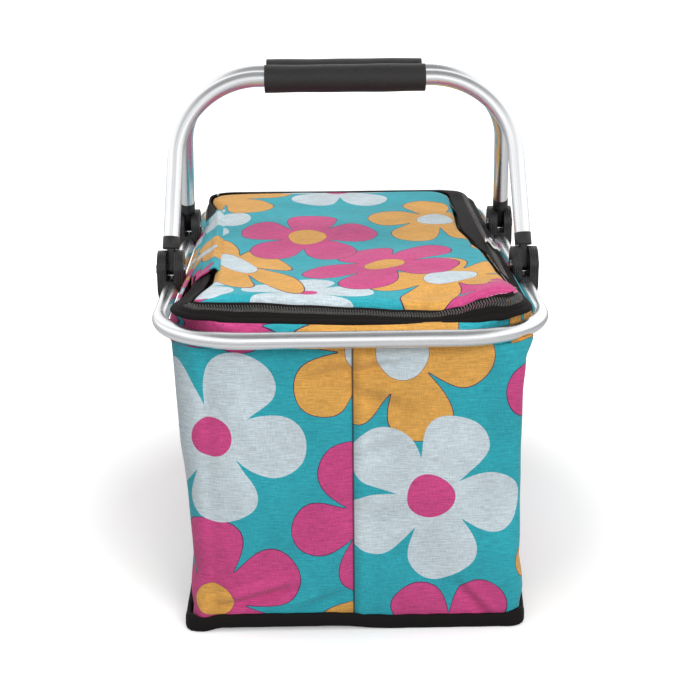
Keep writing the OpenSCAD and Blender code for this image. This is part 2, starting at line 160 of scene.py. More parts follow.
def drawn_aluminium(parts, across, upward, along):
    """Satin aluminium with streaks along a tube, from the place on its section and along it."""
    material, shader, place = parts
    section = join_xyz(across, upward, along)
    broad = noise(section, (420, 420, 3))
    fine = noise(section, (2600, 2600, 14), 3.0, 0.6)
    cloud = noise(place, 24.0, 3.0)
    tone = calc("ADD", times(broad, 0.7), times(fine, 0.3))
    colour = mix_colours(remap(tone, 0.36, 0.6), (0.64, 0.65, 0.67, 1), (0.92, 0.93, 0.94, 1))
    shader.inputs["Metallic"].default_value = 1.0
    coat(shader, colour, remap(calc("ADD", fine, cloud), 0.7, 1.3, 0.2, 0.38), fine, 0.00004)
    return material


rim_parts = start_material("satin_aluminium_rim")
rim_at_x, rim_at_y, rim_at_z = split_xyz(rim_parts[2])
rim_flat = vector_calc("MULTIPLY", vector_calc("ABSOLUTE", rim_parts[2]), (1, 1, 0))
past_bend = vector_calc("SUBTRACT", rim_flat, (rim_x - rim_bend_r, rim_y - rim_bend_r, 0))
past_bend = vector_calc("LENGTH", vector_calc("MAXIMUM", past_bend, (0, 0, 0)))
rim_along = calc("ADD", rim_at_x, times(rim_at_y, 0.7))
rim_aluminium = drawn_aluminium(
    rim_parts, calc("SUBTRACT", past_bend, rim_bend_r), calc("SUBTRACT", rim_at_z, rim_z), rim_along)
wear(nodes["rim_tube"], rim_aluminium)
wear(nodes["rim_splice"], rim_aluminium)


# ---- Brackets ----
# Each bracket is one black nylon moulding that sits on the rim tube: two round-topped ears with a
# slot between them for the handle's tongue, a thin bridge over the tube, and a skirt outside it.
# The moulding has fine ribs round the ears' rims, soft edges and a grainy skin.


def moulded_plastic(name, rib_pitch=0.0):
    """Black moulded nylon, with ribs at a pitch along X where one is given."""
    material, shader, place = start_material(name)
    scuffs = noise(place, 190.0, 4.0, 0.65)
    tone = mix_colours(remap(scuffs, 0.45, 0.75), (0.008, 0.0078, 0.0082, 1), (0.026, 0.0255, 0.0265, 1))
    height = times(noise(place, 2600.0, 3.0, 0.6), 0.12)
    if rib_pitch > 0:
        wave = calc("SINE", times(split_xyz(place)[0], 2 * math.pi / rib_pitch))
        height = calc("ADD", height, times(wave, 0.5))
    coat(shader, tone, remap(scuffs, 0.3, 0.7, 0.3, 0.5), height, 0.0004, 0.7)
    return material


def only(piece):
    """Leaves one object selected and active."""
    bpy.ops.object.select_all(action="DESELECT")
    piece.select_set(True)
    bpy.context.view_layer.objects.active = piece


def edit(piece):
    """Opens a piece for modelling, with all of it selected."""
    only(piece)
    bpy.ops.object.mode_set(mode="EDIT")
    bpy.ops.mesh.select_all(action="SELECT")


def done():
    bpy.ops.object.mode_set(mode="OBJECT")


def modify(piece, kind, **settings):
    """Adds a modifier with its settings."""
    made = piece.modifiers.new(kind.lower(), kind)
    for name, setting in settings.items():
        setattr(made, name, setting)
    return made


def finish(piece):
    """Applies a piece's modifiers, in their order."""
    only(piece)
    for modifier in [made.name for made in piece.modifiers]:
        bpy.ops.object.modifier_apply(modifier=modifier)


def smooth(piece, degrees=35):
    only(piece)
    bpy.ops.object.shade_smooth_by_angle(angle=math.radians(degrees))


def softened_copy(node_name, piece_name, edge):
    """A moulded piece from a solid of the model, with its sharp edges rounded."""
    piece = bpy.data.objects.new(piece_name, nodes[node_name].data.copy())
    bpy.context.scene.collection.objects.link(piece)
    edit(piece)
    bpy.ops.mesh.remove_doubles(threshold=0.002 * mm)
    bpy.ops.mesh.dissolve_limited(angle_limit=math.radians(0.6))
    done()
    modify(piece, "BEVEL", width=edge, segments=2, limit_method="ANGLE", angle_limit=math.radians(30))
    finish(piece)
    smooth(piece)
    return piece


def fit(piece, material, body, slot_name, *replaced):
    """Puts a finished piece on the basket: its material, its body, and what it stands for. The slot name is
    not used.
    """
    wear(piece, material)
    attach(piece, body)
    if replaced:
        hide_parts(*replaced)


ribbed_plastic = moulded_plastic("ribbed_black_nylon", 1.7 * mm)
for place in ("near_left", "near_right", "far_left", "far_right"):
    bracket = softened_copy("bracket_" + place, "moulded_bracket_" + place, 0.45 * mm)
    fit(bracket, ribbed_plastic, "frame", "black_plastic", "bracket_" + place)


# ---- Pivot pins and bracket screws ----
# Plated steel pins with low round heads join the ears and the tongues. One pan-head screw through
# each bridge holds its bracket to the rim tube. The plating is bright, a little scratched.

plated_steel, steel_shader, steel_place = start_material("plated_steel")
scratches = noise(steel_place, 900.0, 5.0, 0.7)
steel_tone = mix_colours(scratches, (0.5, 0.5, 0.52, 1), (0.86, 0.86, 0.87, 1))
steel_shader.inputs["Metallic"].default_value = 1.0
coat(steel_shader, steel_tone, remap(scratches, 0.3, 0.7, 0.14, 0.34), scratches, 0.00005)
wear(nodes["pivot_pins"], plated_steel)
wear(nodes["bracket_screws"], plated_steel)


# ---- Handles ----
# Each handle is one bent aluminium tube: two legs that lean in a little, two wide bends and a
# straight crossbar. It's the rim's metal, and the drawing streaks follow the tube.

pivot_y = 78 * mm
pivot_z = 240 * mm
handle_lean = math.radians(22)
handle_reach = 149 * mm
handle_bend_r = 66 * mm
handle_bend_x = 67.1 * mm
handle_bend_z = handle_reach - handle_bend_r
leg_taper = math.tan(math.radians(3))
handle_tube_r = 6.25 * mm


def handle_frame(end):
    """Turns a handle's own frame, pivots at the origin and legs up Z, into the basket's."""
    return Matrix.Translation((0, end * pivot_y, pivot_z)) @ Matrix.Rotation(end * handle_lean, 4, "X")


def handle_aluminium(end, name):
    """The rim's metal, with its streaks up the legs and round the bends of one handle."""
    parts = start_material(name)
    back = handle_frame(end).inverted()
    given = {"Vector": parts[2], "Location": back.to_translation(), "Rotation": back.to_euler()}
    x, y, z = split_xyz(shade("Mapping", given, "Vector", vector_type="POINT"))
    below_bend = calc("MAXIMUM", calc("SUBTRACT", handle_bend_z, z), 0.0)
    leaning = calc("SUBTRACT", calc("ABSOLUTE", x), times(below_bend, leg_taper))
    sideways = calc("MAXIMUM", calc("SUBTRACT", leaning, handle_bend_x), 0.0)
    over_bend = calc("MAXIMUM", calc("SUBTRACT", z, handle_bend_z), 0.0)
    out = vector_calc("LENGTH", join_xyz(sideways, over_bend, 0.0))
    return drawn_aluminium(parts, calc("SUBTRACT", out, handle_bend_r), y, calc("ADD", x, z))


wear(nodes["handle_tube_near"], handle_aluminium(-1, "satin_aluminium_near"))
wear(nodes["handle_tube_far"], handle_aluminium(1, "satin_aluminium_far"))


# ---- Knuckles ----
# A black nylon knuckle plugs into the foot of each leg. Its collar stands almost flush with the
# tube, and below it a flat tongue turns in the bracket's slot.

smooth_plastic = moulded_plastic("black_nylon")
for end_name in ("near", "far"):
    for side_name in ("left", "right"):
        place = end_name + "_" + side_name
        knuckle = softened_copy("knuckle_" + place, "moulded_knuckle_" + place, 0.5 * mm)
        fit(knuckle, smooth_plastic, "handle_" + end_name, "black_plastic", "knuckle_" + place)


# ---- Grips ----
# A sleeve of black foam rubber is pushed over each crossbar. It's cut straight at both ends, its
# skin has a fine grain, and hands have pressed it a little out of round.

grip_r = 11 * mm
grip_length = 126 * mm
grip_slack = 0.1 * mm

grip_foam, grip_shader, grip_place = start_material("black_foam_rubber")
grip_grain = noise(grip_place, (160, 1300, 1300), 4.0, 0.6)
grip_pores = noise(grip_place, 2400.0, 2.0, 0.7)
grip_tone = mix_colours(
    remap(grip_grain, 0.35, 0.7), (0.0095, 0.0085, 0.0085, 1), (0.021, 0.0195, 0.0195, 1))
grip_height = calc("ADD", grip_grain, times(grip_pores, 0.4))
coat(grip_shader, grip_tone, remap(grip_grain, 0.3, 0.7, 0.42, 0.62), grip_height, 0.0003, 0.7)


def start_piece(name, primitive, **settings):
    """A new piece from one primitive, with nothing else selected."""
    bpy.ops.object.select_all(action="DESELECT")
    primitive(**settings)
    piece = bpy.context.object
    piece.name = name
    return piece


def take_up_place():
    """Moves the new piece's own place and turn into its mesh."""
    bpy.ops.object.transform_apply(location=True, rotation=True, scale=True)


def pick(piece, wanted, kind="FACE"):
    """Selects the faces or the edges that a test on their middle and direction wants."""
    bpy.ops.mesh.select_all(action="DESELECT")
    bpy.ops.mesh.select_mode(type=kind)
    shape = bmesh.from_edit_mesh(piece.data)
    if kind == "FACE":
        for face in shape.faces:
            face.select_set(wanted(face.calc_center_median(), face.normal))
    else:
        for edge in shape.edges:
            first, second = edge.verts[0].co, edge.verts[1].co
            edge.select_set(wanted((first + second) / 2, (second - first).normalized()))
    bmesh.update_edit_mesh(piece.data)


def foam_sleeve(name):
    """One grip, lying along X round the origin."""
    sleeve = start_piece(name, bpy.ops.mesh.primitive_cylinder_add, vertices=72, radius=grip_r,
        depth=grip_length, rotation=(0, math.pi / 2, 0))
    take_up_place()
    edit(sleeve)
    pick(sleeve, lambda middle, way: abs(way.x) > 0.9)
    bpy.ops.mesh.inset(thickness=grip_r - handle_tube_r - grip_slack)
    bpy.ops.mesh.delete(type="FACE")
    pick(sleeve, lambda middle, way: abs(way.x) > 0.9, "EDGE")
    bpy.ops.mesh.subdivide(number_cuts=84)
    done()
    for point in sleeve.data.vertices:
        out = math.hypot(point.co.y, point.co.z)
        if out > grip_r - grip_slack:
            turn, along = math.atan2(point.co.z, point.co.y), point.co.x
            sag = 0.16 * math.sin(along * 61) + 0.12 * math.sin(along * 143 + turn * 2)
            sag += 0.1 * math.sin(3 * turn + along * 35)
            squeezed = (out - (0.25 - sag * 0.8) * mm) / out
            point.co.y *= squeezed
            point.co.z *= squeezed
    modify(sleeve, "BEVEL", width=0.7 * mm, segments=3, limit_method="ANGLE", angle_limit=math.radians(50))
    finish(sleeve)
    smooth(sleeve, 50)
    return sleeve


for end, end_name in ((-1, "near"), (1, "far")):
    grip = foam_sleeve("foam_grip_" + end_name)
    grip.data.transform(handle_frame(end) @ Matrix.Translation((0, 0, handle_reach)))
    fit(grip, grip_foam, "handle_" + end_name, "grip_foam", "grip_" + end_name)


# ---- Printed walls ----
# Two pieces of printed polyester canvas make the outside of the bag. Each runs from the seam down
# the middle of the near end, round one side, to the seam at the far end. The cloth hangs from the
# rim, draws in towards the base, and creases where the seams and corners pull on it.

wall_bottom_z = 1.1 * mm
wall_top_z = 218 * mm
base_x, base_y, base_bend_r = 120.85 * mm, 210.35 * mm, 10 * mm
top_x, top_y = 126.45 * mm, 215.95 * mm

teal = (0.034, 0.42, 0.5, 1)
pink = (0.66, 0.075, 0.26, 1)
orange = (0.79, 0.41, 0.095, 1)
off_white = (0.64, 0.74, 0.79, 1)
dark_line = (0.10, 0.035, 0.10, 1)


def make_flower_group():
    """One five-petal flower laid over the cloth. Its petals are egg-shaped, with sharp clefts."""
    tree = bpy.data.node_groups.new("printed flower", "ShaderNodeTree")
    sockets = {
        "Color": ("Below", "Petals", "Middle"),
        "Vector": ("Cloth", "Centre", "Repeat", "Pull"),
        "Float": ("Turn", "Radius", "Middle Radius", "Line", "Pulled"),
    }
    for kind, names in sockets.items():
        for name in names:
            tree.interface.new_socket(name, in_out="INPUT", socket_type="NodeSocket" + kind)
    tree.interface.new_socket("Colour", in_out="OUTPUT", socket_type="NodeSocketColor")
    given = tree.nodes.new("NodeGroupInput").outputs
    away = vector_calc("SUBTRACT", given["Cloth"], given["Centre"])
    low = vector_calc("MULTIPLY", given["Repeat"], (-0.5, -0.5, -0.5))
    high = vector_calc("MULTIPLY", given["Repeat"], (0.5, 0.5, 0.5))
    away = vector_calc("WRAP", away, high, low)
    along_pull = times(vector_calc("DOT_PRODUCT", away, given["Pull"]), given["Pulled"])
    away = vector_calc("ADD", away, vector_calc("MULTIPLY", given["Pull"], along_pull))
    x, y, _ = split_xyz(away)
    distance = vector_calc("LENGTH", away)
    out = calc("DIVIDE", distance, given["Radius"])
    heading = calc("SUBTRACT", calc("ARCTAN2", y, x), given["Turn"])
    half_petal = math.pi / 5
    from_axis = calc("ABSOLUTE", calc("WRAP", heading, half_petal, -half_petal))
    sideways = calc("DIVIDE", from_axis, half_petal)
    cleft = calc("ADD", times(calc("SINE", times(heading, 2.0)), 0.05), 0.4)

    def within(out_here, sideways_here):
        """1 inside a petal, whose side runs in to a round tip from the cleft beside it."""
        past = calc("DIVIDE", calc("SUBTRACT", out_here, cleft), calc("SUBTRACT", 1.0, cleft))
        past = calc("MAXIMUM", past, 0.0)
        side = calc("SUBTRACT", 1.0, times(calc("POWER", past, 0.8), 0.26))
        tip = calc("SQRT", calc("MAXIMUM", calc("SUBTRACT", 1.0, calc("POWER", past, 4.6)), 0.0))
        beside_axis = calc("LESS_THAN", sideways_here, times(side, tip))
        return calc("MAXIMUM", beside_axis, calc("LESS_THAN", out_here, cleft))

    inside = within(out, sideways)
    line = calc("DIVIDE", 0.5 * mm, given["Radius"])
    line_turn = calc("DIVIDE", calc("DIVIDE", line, half_petal), calc("MAXIMUM", out, 0.1))
    deeper = within(calc("ADD", out, line), calc("ADD", sideways, line_turn))
    edge = times(calc("SUBTRACT", inside, deeper), given["Line"])
    coloured = mix_colours(edge, given["Petals"], dark_line)
    middle_out = calc("SUBTRACT", distance, given["Middle Radius"])
    middle_line = times(calc("LESS_THAN", middle_out, 0.4 * mm), given["Line"])
    coloured = mix_colours(times(middle_line, 0.6), coloured, dark_line)
    coloured = mix_colours(calc("LESS_THAN", middle_out, 0.0), coloured, given["Middle"])
    answer = tree.nodes.new("NodeGroupOutput")
    plug(mix_colours(inside, given["Below"], coloured), answer.inputs["Colour"])
    return tree


flower_group = make_flower_group()
flower_kinds = {
    "white": (off_white, pink, 0.0),
    "pink": (pink, orange, 1.0),
    "orange": (orange, off_white, 1.0),
    "plain orange": (orange, orange, 0.0),
}


def print_flowers(cloth, flowers, repeat=(9, 9, 0)):
    """Lays flowers on teal cloth. Each is (kind, x, y, radius, middle radius, turn in degrees), in mm.
    A flower on stretched cloth also has the heading that it's pulled along, and how many times as long."""
    wobble = shade("TexNoise", {"Vector": cloth, "Scale": 17.0, "Detail": 1.0}, "Color")
    shift = vector_calc("SUBTRACT", wobble, (0.5, 0.5, 0.5))
    cloth = vector_calc("ADD", cloth, vector_calc("MULTIPLY", shift, (0.011, 0.011, 0)))
    below = teal
    for kind, x, y, radius, middle, turn, *stretch in flowers:
        petals, heart, line = flower_kinds[kind]
        given = {
            "Below": below, "Cloth": cloth, "Centre": (x * mm, y * mm, 0), "Repeat": repeat,
            "Turn": math.radians(turn), "Radius": radius * mm, "Middle Radius": middle * mm,
            "Petals": petals, "Middle": heart, "Line": line,
        }
        if stretch:
            heading = math.radians(stretch[0])
            given["Pull"] = (math.cos(heading), math.sin(heading), 0)
            given["Pulled"] = 1 / stretch[1] - 1
        below = shade("Group", given, "Colour", node_tree=flower_group)
    return below


def canvas(parts, cloth, printed):
    """Printed canvas: slubby threads show in its colour, its sheen and its bump."""
    material, shader, _ = parts
    weft = noise(cloth, (150, 1500, 150), 3.0, 0.6)
    warp = noise(cloth, (1500, 170, 150), 2.0, 0.6)
    slubs = noise(cloth, (80, 900, 80), 2.0, 0.7)
    fading = noise(cloth, 21.0, 3.0)
    threads = calc("ADD", times(weft, 0.6), times(warp, 0.4))
    tone = times(remap(threads, 0.3, 0.7, 0.7, 1.2), remap(slubs, 0.3, 0.7, 0.84, 1.1))
    tone = times(tone, remap(fading, 0.3, 0.7, 0.88, 1.07))
    for name, value in (("Sheen Weight", 0.12), ("Sheen Roughness", 0.5), ("Specular IOR Level", 0.3)):
        shader.inputs[name].default_value = value
    height = calc("ADD", threads, times(slubs, 0.7))
    roughness = remap(threads, 0.3, 0.7, 0.9, 0.74)
    coat(shader, vector_calc("MULTIPLY", printed, tone), roughness, height, 0.0003, 0.5)
    return material


def sewn_canvas(name, flowers, repeat, seam=0.85):
    """Canvas on a sewn piece's own map. Its cut edge at the near seam is turned in, and painted shade
    darkens the cloth along the seam.
    """
    parts = start_material(name)
    map_node = parts[1].id_data.nodes.new("ShaderNodeUVMap")
    map_node.uv_map = "cloth"
    cloth = map_node.outputs["UV"]
    from_seam = calc("ABSOLUTE", split_xyz(cloth)[0])
    # Painted shade: the cloth darkens within a millimetre of the seam, where its groove lies in shadow; seam
    # sets how dark.
    painted_seam_shade = remap(from_seam, 0.3 * mm, 1.0 * mm, seam, 0.0)
    printed = mix_colours(painted_seam_shade, print_flowers(cloth, flowers, repeat), (0.02, 0.02, 0.03, 1))
    return canvas(parts, cloth, printed)


def bell(distance, width):
    """1 on a line, falling off softly to 0 on both sides of it."""
    return math.exp(-(distance / width) ** 2)


def ease(value, low, high):
    """0 below low, 1 above high, and a soft step between."""
    share = min(max((value - low) / (high - low), 0.0), 1.0)
    return share * share * (3 - 2 * share)


def follow(stops, at):
    """Reads a smooth line through a few (place, value) stops."""
    for (low, first), (high, second) in zip(stops, stops[1:]):
        if at < high:
            return first + (second - first) * ease(at, low, high)
    return stops[-1][1]


def off_line(x, z, first, last):
    """Distance of a point from a stretch of line, and the share of the way along it, all in mm."""
    way = (last[0] - first[0], last[1] - first[1])
    share = ((x - first[0]) * way[0] + (z - first[1]) * way[1]) / (way[0] ** 2 + way[1] ** 2)
    share = min(max(share, 0.0), 1.0)
    return math.hypot(x - first[0] - share * way[0], z - first[1] - share * way[1]), share


def crease(x, z, first, last, width, depth):
    """A soft pulled fold along a line: a shallow valley with a lower ridge above it."""
    away, share = off_line(x, z, first, last)
    fading = math.sin(math.pi * min(max(0.12 + share * 0.76, 0), 1))
    above, _ = off_line(x, z - width * 1.5, first, last)
    return fading * depth * (0.6 * bell(above, width) - bell(away, width))


def creases(x, z, folds):
    """All the folds of one face, each (first point, last point, width, depth) in mm."""
    return sum(crease(x, z, *fold) for fold in folds)


def ripple(x, z, seed):
    """Slow unevenness of hanging cloth, from -1 to 1."""
    slow = unevenness(Vector((x / 62, z / 74, seed)))
    return slow + 0.5 * unevenness(Vector((x / 27, z / 33, seed + 7)))


def top_lift(x, y):
    """The cloth turns up round the outside of the rim at the bag's near corners."""
    return 3.2 * bell(math.hypot(x - 124, y + 213), 11) + 2.4 * bell(math.hypot(x + 120, y + 210), 11)


near_folds = (
    ((-97, 17), (-44, 33), 4.5, 2.6), ((100, 6), (74, 36), 4.5, 1.8), ((-2, 198), (44, 206), 5, 2.4),
    ((-4, 186), (34, 172), 6, 1.6), ((2, 204), (-34, 192), 6, 1.8), ((0, 132), (30, 146), 6, 1.3),
    ((60, 96), (6, 84), 9, 0.8), ((-6, 30), (-40, 12), 5, 1.2), ((-98, 176), (-66, 118), 12, 1.0),
    ((116, 118), (96, 66), 9, 1.2),
)
far_folds = (
    ((-94, 14), (-46, 40), 5, 2.2), ((92, 16), (50, 66), 6, 1.9), ((2, 196), (-40, 204), 6, 1.9),
    ((0, 150), (36, 138), 7, 1.3),
)


def halves_relief(x, z, fullness, groove, lip):
    """The fullness of an end's two halves, and the groove of the seam between them."""
    swell = fullness * (1 - min(abs(abs(x) - 52) / 66, 1) ** 2) * ease(z, -12, 60) * ease(232 - z, 0, 50)
    seam = -groove * bell(x, 4.5) if x < 0 else -lip[0] * bell(x, 2.2) + lip[1] * bell(x - 6, 5)
    return swell + seam * ease(z, -4, 10)


def near_relief(x, z):
    """How far the near end's cloth stands out from its plain shape, all in mm."""
    puckers = 0.5 * math.sin(z / 5.2 + 1.5 * math.sin(z / 21)) * bell(x - 4, 9) * ease(z, 20, 90)
    upright = 1.1 * bell(x + 82, 13) - 1.5 * bell(x + 102, 5) + 0.8 * bell(x - 104, 8)
    folds = 1.3 * upright + 1.9 * creases(x, z, near_folds) + 0.9 * ripple(x, z, 3)
    return halves_relief(x, z, 2.2, 2.4, (1.6, 1.5)) + puckers + folds * ease(z, -2, 14)


def far_relief(x, z):
    folds = creases(x, z, far_folds) + 1.0 * ripple(x, z, 41)
    return halves_relief(x, z, 2.4, 2.2, (1.4, 1.3)) + folds * ease(z, -2, 14)


def side_relief(y, z, hand):
    """The long sides hang slacker, and bow in half way up."""
    bow = -3.0 * math.cos(min(abs(y) / 205, 1) * math.pi / 2) * math.sin(math.pi * ease(z, -10, 228))
    folds = creases(y, z, (
        ((-200, 16), (-118, 56), 8, 2.6), ((196, 14), (122, 66), 8, 2.4),
        ((-92 * hand, 208), (-30 * hand, 146), 11, 1.8), ((78, 206), (50, 130), 10, 1.6),
        ((-160, 198), (-188, 128), 9, 1.8), ((50 * hand, 22), (-40 * hand, 32), 8, 1.6),
        ((190, 190), (160, 110), 9, 1.7),
    ))
    return bow + (folds + 1.4 * ripple(y, z, 20 + 7 * hand)) * ease(z, -2, 14)


def belly(y, z, hand):
    """How far a side's foot stands out over the floor, the right one's most."""
    if hand > 0:
        return 6.5 * bell(y + 138, 62) * ease(100 - z, 0, 78)
    return 1.5 * bell(y + 60, 90) * ease(90 - z, 0, 70)


def foot_lift(x, y):
    """The near edge of the bottom hangs a little clear of the floor, left of the middle."""
    return 2.7 * ease(-y, 186, 208) * ease(x, -112, -96) * ease(-x, -26, 14)


# How far the cloth draws in, and the radius of its bends, at heights in mm.
side_draw = {
    -1: ((0, 1.2), (18, 3.0), (60, 5.0), (105, 3.6), (150, 1.4), (218, 0)),
    1: ((0, 1.0), (26, -0.6), (50, 2.6), (80, 2.2), (145, 4.6), (184, 5.2), (204, 4.6), (218, 0)),
}
near_bend = {
    -1: ((0, 10), (14, 10), (50, 19), (180, 22), (218, 26)),
    1: ((0, 10), (14, 9), (190, 8.5), (218, 14)),
}
far_bend = ((0, 10), (14, 10), (60, 14), (190, 15), (218, 16))


def walk_wall(hand, along, up):
    """A point of one half of the bag's outside, the way out of it, and how far along the cloth it
    lies. The share along runs from 0 at the near seam to 1 at the far one."""
    height = (wall_bottom_z + (wall_top_z - wall_bottom_z) * up) / mm
    half_x = base_x + (top_x - base_x) * up - follow(side_draw[hand], height) * mm
    half_y = base_y + (top_y - base_y) * up
    near_r, far_r = follow(near_bend[hand], height) * mm, follow(far_bend, height) * mm
    near_end = half_x - near_r
    near_turn = near_end + near_r * math.pi / 2
    side_end = near_turn + 2 * half_y - near_r - far_r
    far_turn = side_end + far_r * math.pi / 2
    whole = far_turn + half_x - far_r
    run = along * whole
    if run < near_end:
        place, way = (run, -half_y), (0, -1)
    elif run < near_turn:
        turn = (run - near_end) / near_r
        way = (math.sin(turn), -math.cos(turn))
        place = (near_end + near_r * way[0], -half_y + near_r + near_r * way[1])
    elif run < side_end:
        place, way = (half_x, run - near_turn - half_y + near_r), (1, 0)
    elif run < far_turn:
        turn = (run - side_end) / far_r
        way = (math.cos(turn), math.sin(turn))
        place = (half_x - far_r + far_r * way[0], half_y - far_r + far_r * way[1])
    else:
        place, way = (whole - run, half_y), (0, 1)
    return Vector((hand * place[0], place[1])), Vector((hand * way[0], way[1])), hand * run


def cut_cloth(name, columns, rows, lay, thick, turned_over=False):
    """A piece of cloth, laid out flat as a grid and then drawn to its place. The function lay takes a
    point of the flat grid, from -1 to 1 both ways, to its place and to its spot on the cloth's map."""
    piece = start_piece(name, bpy.ops.mesh.primitive_grid_add, x_subdivisions=columns,
        y_subdivisions=rows, size=2, calc_uvs=True)
    flat = piece.data.uv_layers[0]
    flat.name = "cloth"
    sewn = []
    for point in piece.data.vertices:
        point.co, spot = lay(point.co.x, point.co.y)
        sewn.append(spot)
    for loop in piece.data.loops:
        flat.data[loop.index].uv = sewn[loop.vertex_index]
    if turned_over:
        piece.data.flip_normals()
    modify(piece, "SOLIDIFY", thickness=thick, offset=-1)
    finish(piece)
    return piece


def wall_half(name, hand, columns, rows, inwards=0.0, thick=0.8 * mm):
    """One half of the walls' outside, or of the lining some way inside it."""
    def lay(across, upwards):
        up = (upwards + 1) / 2
        place, way, run = walk_wall(hand, (across + 1) / 2, up)
        z = wall_bottom_z + (wall_top_z - wall_bottom_z) * up
        x_here, y_here, z_here = place.x / mm, place.y / mm, z / mm
        if inwards == 0:
            proud = max(-way.y, 0) ** 2 * near_relief(x_here, z_here)
            proud += max(way.y, 0) ** 2 * far_relief(-x_here, z_here)
            proud += way.x ** 2 * side_relief(y_here, z_here, hand)
        else:
            proud = -1.6 + 0.9 * ripple(run / mm, z_here, 60)
        proud *= ease(up, -0.01, 0.03) * ease(1 - up, 0.0, 0.04)
        proud += max(way.x * hand, 0) * belly(y_here, z_here, hand)
        place += way * (proud * mm - inwards)
        raised = foot_lift(x_here, y_here) * ease(34 - z_here, 0, 34)
        raised += top_lift(x_here, y_here) * ease(up, 0.93, 1.0)
        return (place.x, place.y, z + raised * mm), (run, z)

    piece = cut_cloth(name, columns, rows, lay, thick, (hand < 0) != (inwards > 0))
    smooth(piece, 60)
    return piece


def hang(panel, material, slot_name, *replaced):
    """Sews a wall piece into the rim, and gives it a mesh of its own."""
    fit(panel, material, "frame", slot_name, *replaced)
    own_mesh(panel)


print_repeat = (0.33, 9, 0)
left_print = (
    ("orange", 0, -45, 66, 16, 92), ("pink", -76, 262, 47, 12, 270), ("orange", 12, 212, 60, 16, 214),
    ("pink", 16, 88, 62, 13, 47), ("pink", -101, 24, 66, 14, 22), ("white", -99, 153, 67, 15.5, -9),
    ("white", -262, -10, 56, 15, 30), ("pink", -218, 224, 64, 16, 12), ("orange", -205, 92, 60, 17, 50),
)
right_print = (
    ("pink", 288, 28, 36, 10, 10), ("pink", 68, -14, 58, 13, 52), ("orange", 160, 50, 43, 13, 180),
    ("pink", 163, 184, 56, 15, 180), ("orange", 34, 211, 65, 17.8, 1),
    ("plain orange", 0, 210.5, 10, 10, 0), ("white", 54, 106, 66.5, 17, 66), ("pink", 236, -2, 48, 14, 20),
    ("orange", 258, 234, 50, 14, 33), ("white", 262, 122, 63, 16, 12),
)
for hand, side_name, flowers in ((-1, "left", left_print), (1, "right", right_print)):
    wall = wall_half("canvas_" + side_name, hand, 330, 110)
    wall_canvas = sewn_canvas("printed_canvas_" + side_name, flowers, print_repeat)
    hang(wall, wall_canvas, "printed_fabric", "wall_" + side_name)


# ---- Lining and wall foam ----
# The inside is silver-faced film, glued to 4 mm closed-cell foam that stiffens the walls. The film
# shows fine crinkles, and it's welded in one piece with the foam behind it.

lining_depth = 5.2 * mm

silver_film, film_shader, film_place = start_material("silver_film")
film_crinkle = noise(film_place, 120.0, 6.0, 0.65)
film_tone = mix_colours(film_crinkle, (0.5, 0.51, 0.52, 1), (0.78, 0.79, 0.8, 1))
film_height = calc("ADD", film_crinkle, noise(film_place, 18.0))
film_shader.inputs["Metallic"].default_value = 0.75
coat(film_shader, film_tone, remap(film_crinkle, 0.3, 0.7, 0.26, 0.42), film_height, 0.0016, 0.6)

for hand, side_name, hidden in ((-1, "left", "wall_lining"), (1, "right", "wall_foam")):
    lining = wall_half("lining_" + side_name, hand, 200, 56, lining_depth, 0.5 * mm)
    hang(lining, silver_film, "lining", hidden)


# ---- Collar in the rim ----
# The walls' cloth turns in under the rim tube and goes on up inside it as a doubled printed strip,
# which the zip's border is sewn to. It shows as a thin band above the tube.

collar_bottom_z = 218.3 * mm
foot_bend_r, wide_foot_bend_r = 14 * mm, 28 * mm
border_bends = (33 * mm, 33 * mm, 42 * mm, 42 * mm)


def face_out():
    """Turns every face of the piece being modelled outwards, and closes the modelling."""
    bpy.ops.mesh.select_all(action="SELECT")
    bpy.ops.mesh.normals_make_consistent(inside=False)
    done()


def rounded_loop(name, half_x, half_y, bend_r, z):
    """A flat rounded rectangle with only its outline left, as one closed loop of edges."""
    loop = start_piece(name, bpy.ops.mesh.primitive_plane_add, size=2, location=(0, 0, z))
    edit(loop)
    bpy.ops.transform.resize(value=(half_x, half_y, 1))
    bpy.ops.mesh.bevel(offset=bend_r, segments=16, affect="VERTICES")
    bpy.ops.mesh.select_all(action="SELECT")
    bpy.ops.mesh.delete(type="ONLY_FACE")
    done()
    take_up_place()
    return loop


def on_bend(place, old, new):
    """Moves a point of one rounded rectangle to the same part of another, each (half x, half y, bend)."""
    moved = []
    for axis in (0, 1):
        old_flat, new_flat = old[axis] - old[2], new[axis] - new[2]
        turned = max(abs(place[axis]) - old_flat, 0.0) / old[2]
        straight = abs(place[axis]) / old_flat * new_flat if turned == 0 else new_flat
        moved.append(math.copysign(straight + turned * new[2], place[axis]))
    return moved


def raise_loop(loop, rings):
    """Extrudes an outline from each ring to the next, each (half x, half y, bend, z)."""
    edit(loop)
    for old, new in zip(rings, rings[1:]):
        bpy.ops.mesh.extrude_edges_move(TRANSFORM_OT_translate={"value": (0, 0, new[3] - old[3])})
        shape = bmesh.from_edit_mesh(loop.data)
        for point in shape.verts:
            if point.select:
                point.co.x, point.co.y = on_bend(point.co, old, new)
        bmesh.update_edit_mesh(loop.data)
    bpy.ops.mesh.select_all(action="SELECT")
    bpy.ops.mesh.subdivide(number_cuts=1)
    face_out()


def edge_distance(x, y, half_x, half_y, bend_r):
    """How far inside the outline of a rounded rectangle a point lies."""
    past_x = max(abs(x) - (half_x - bend_r), 0)
    past_y = max(abs(y) - (half_y - bend_r), 0)
    if past_x == 0 and past_y == 0:
        return min(half_x - abs(x), half_y - abs(y))
    return bend_r - math.hypot(past_x, past_y)


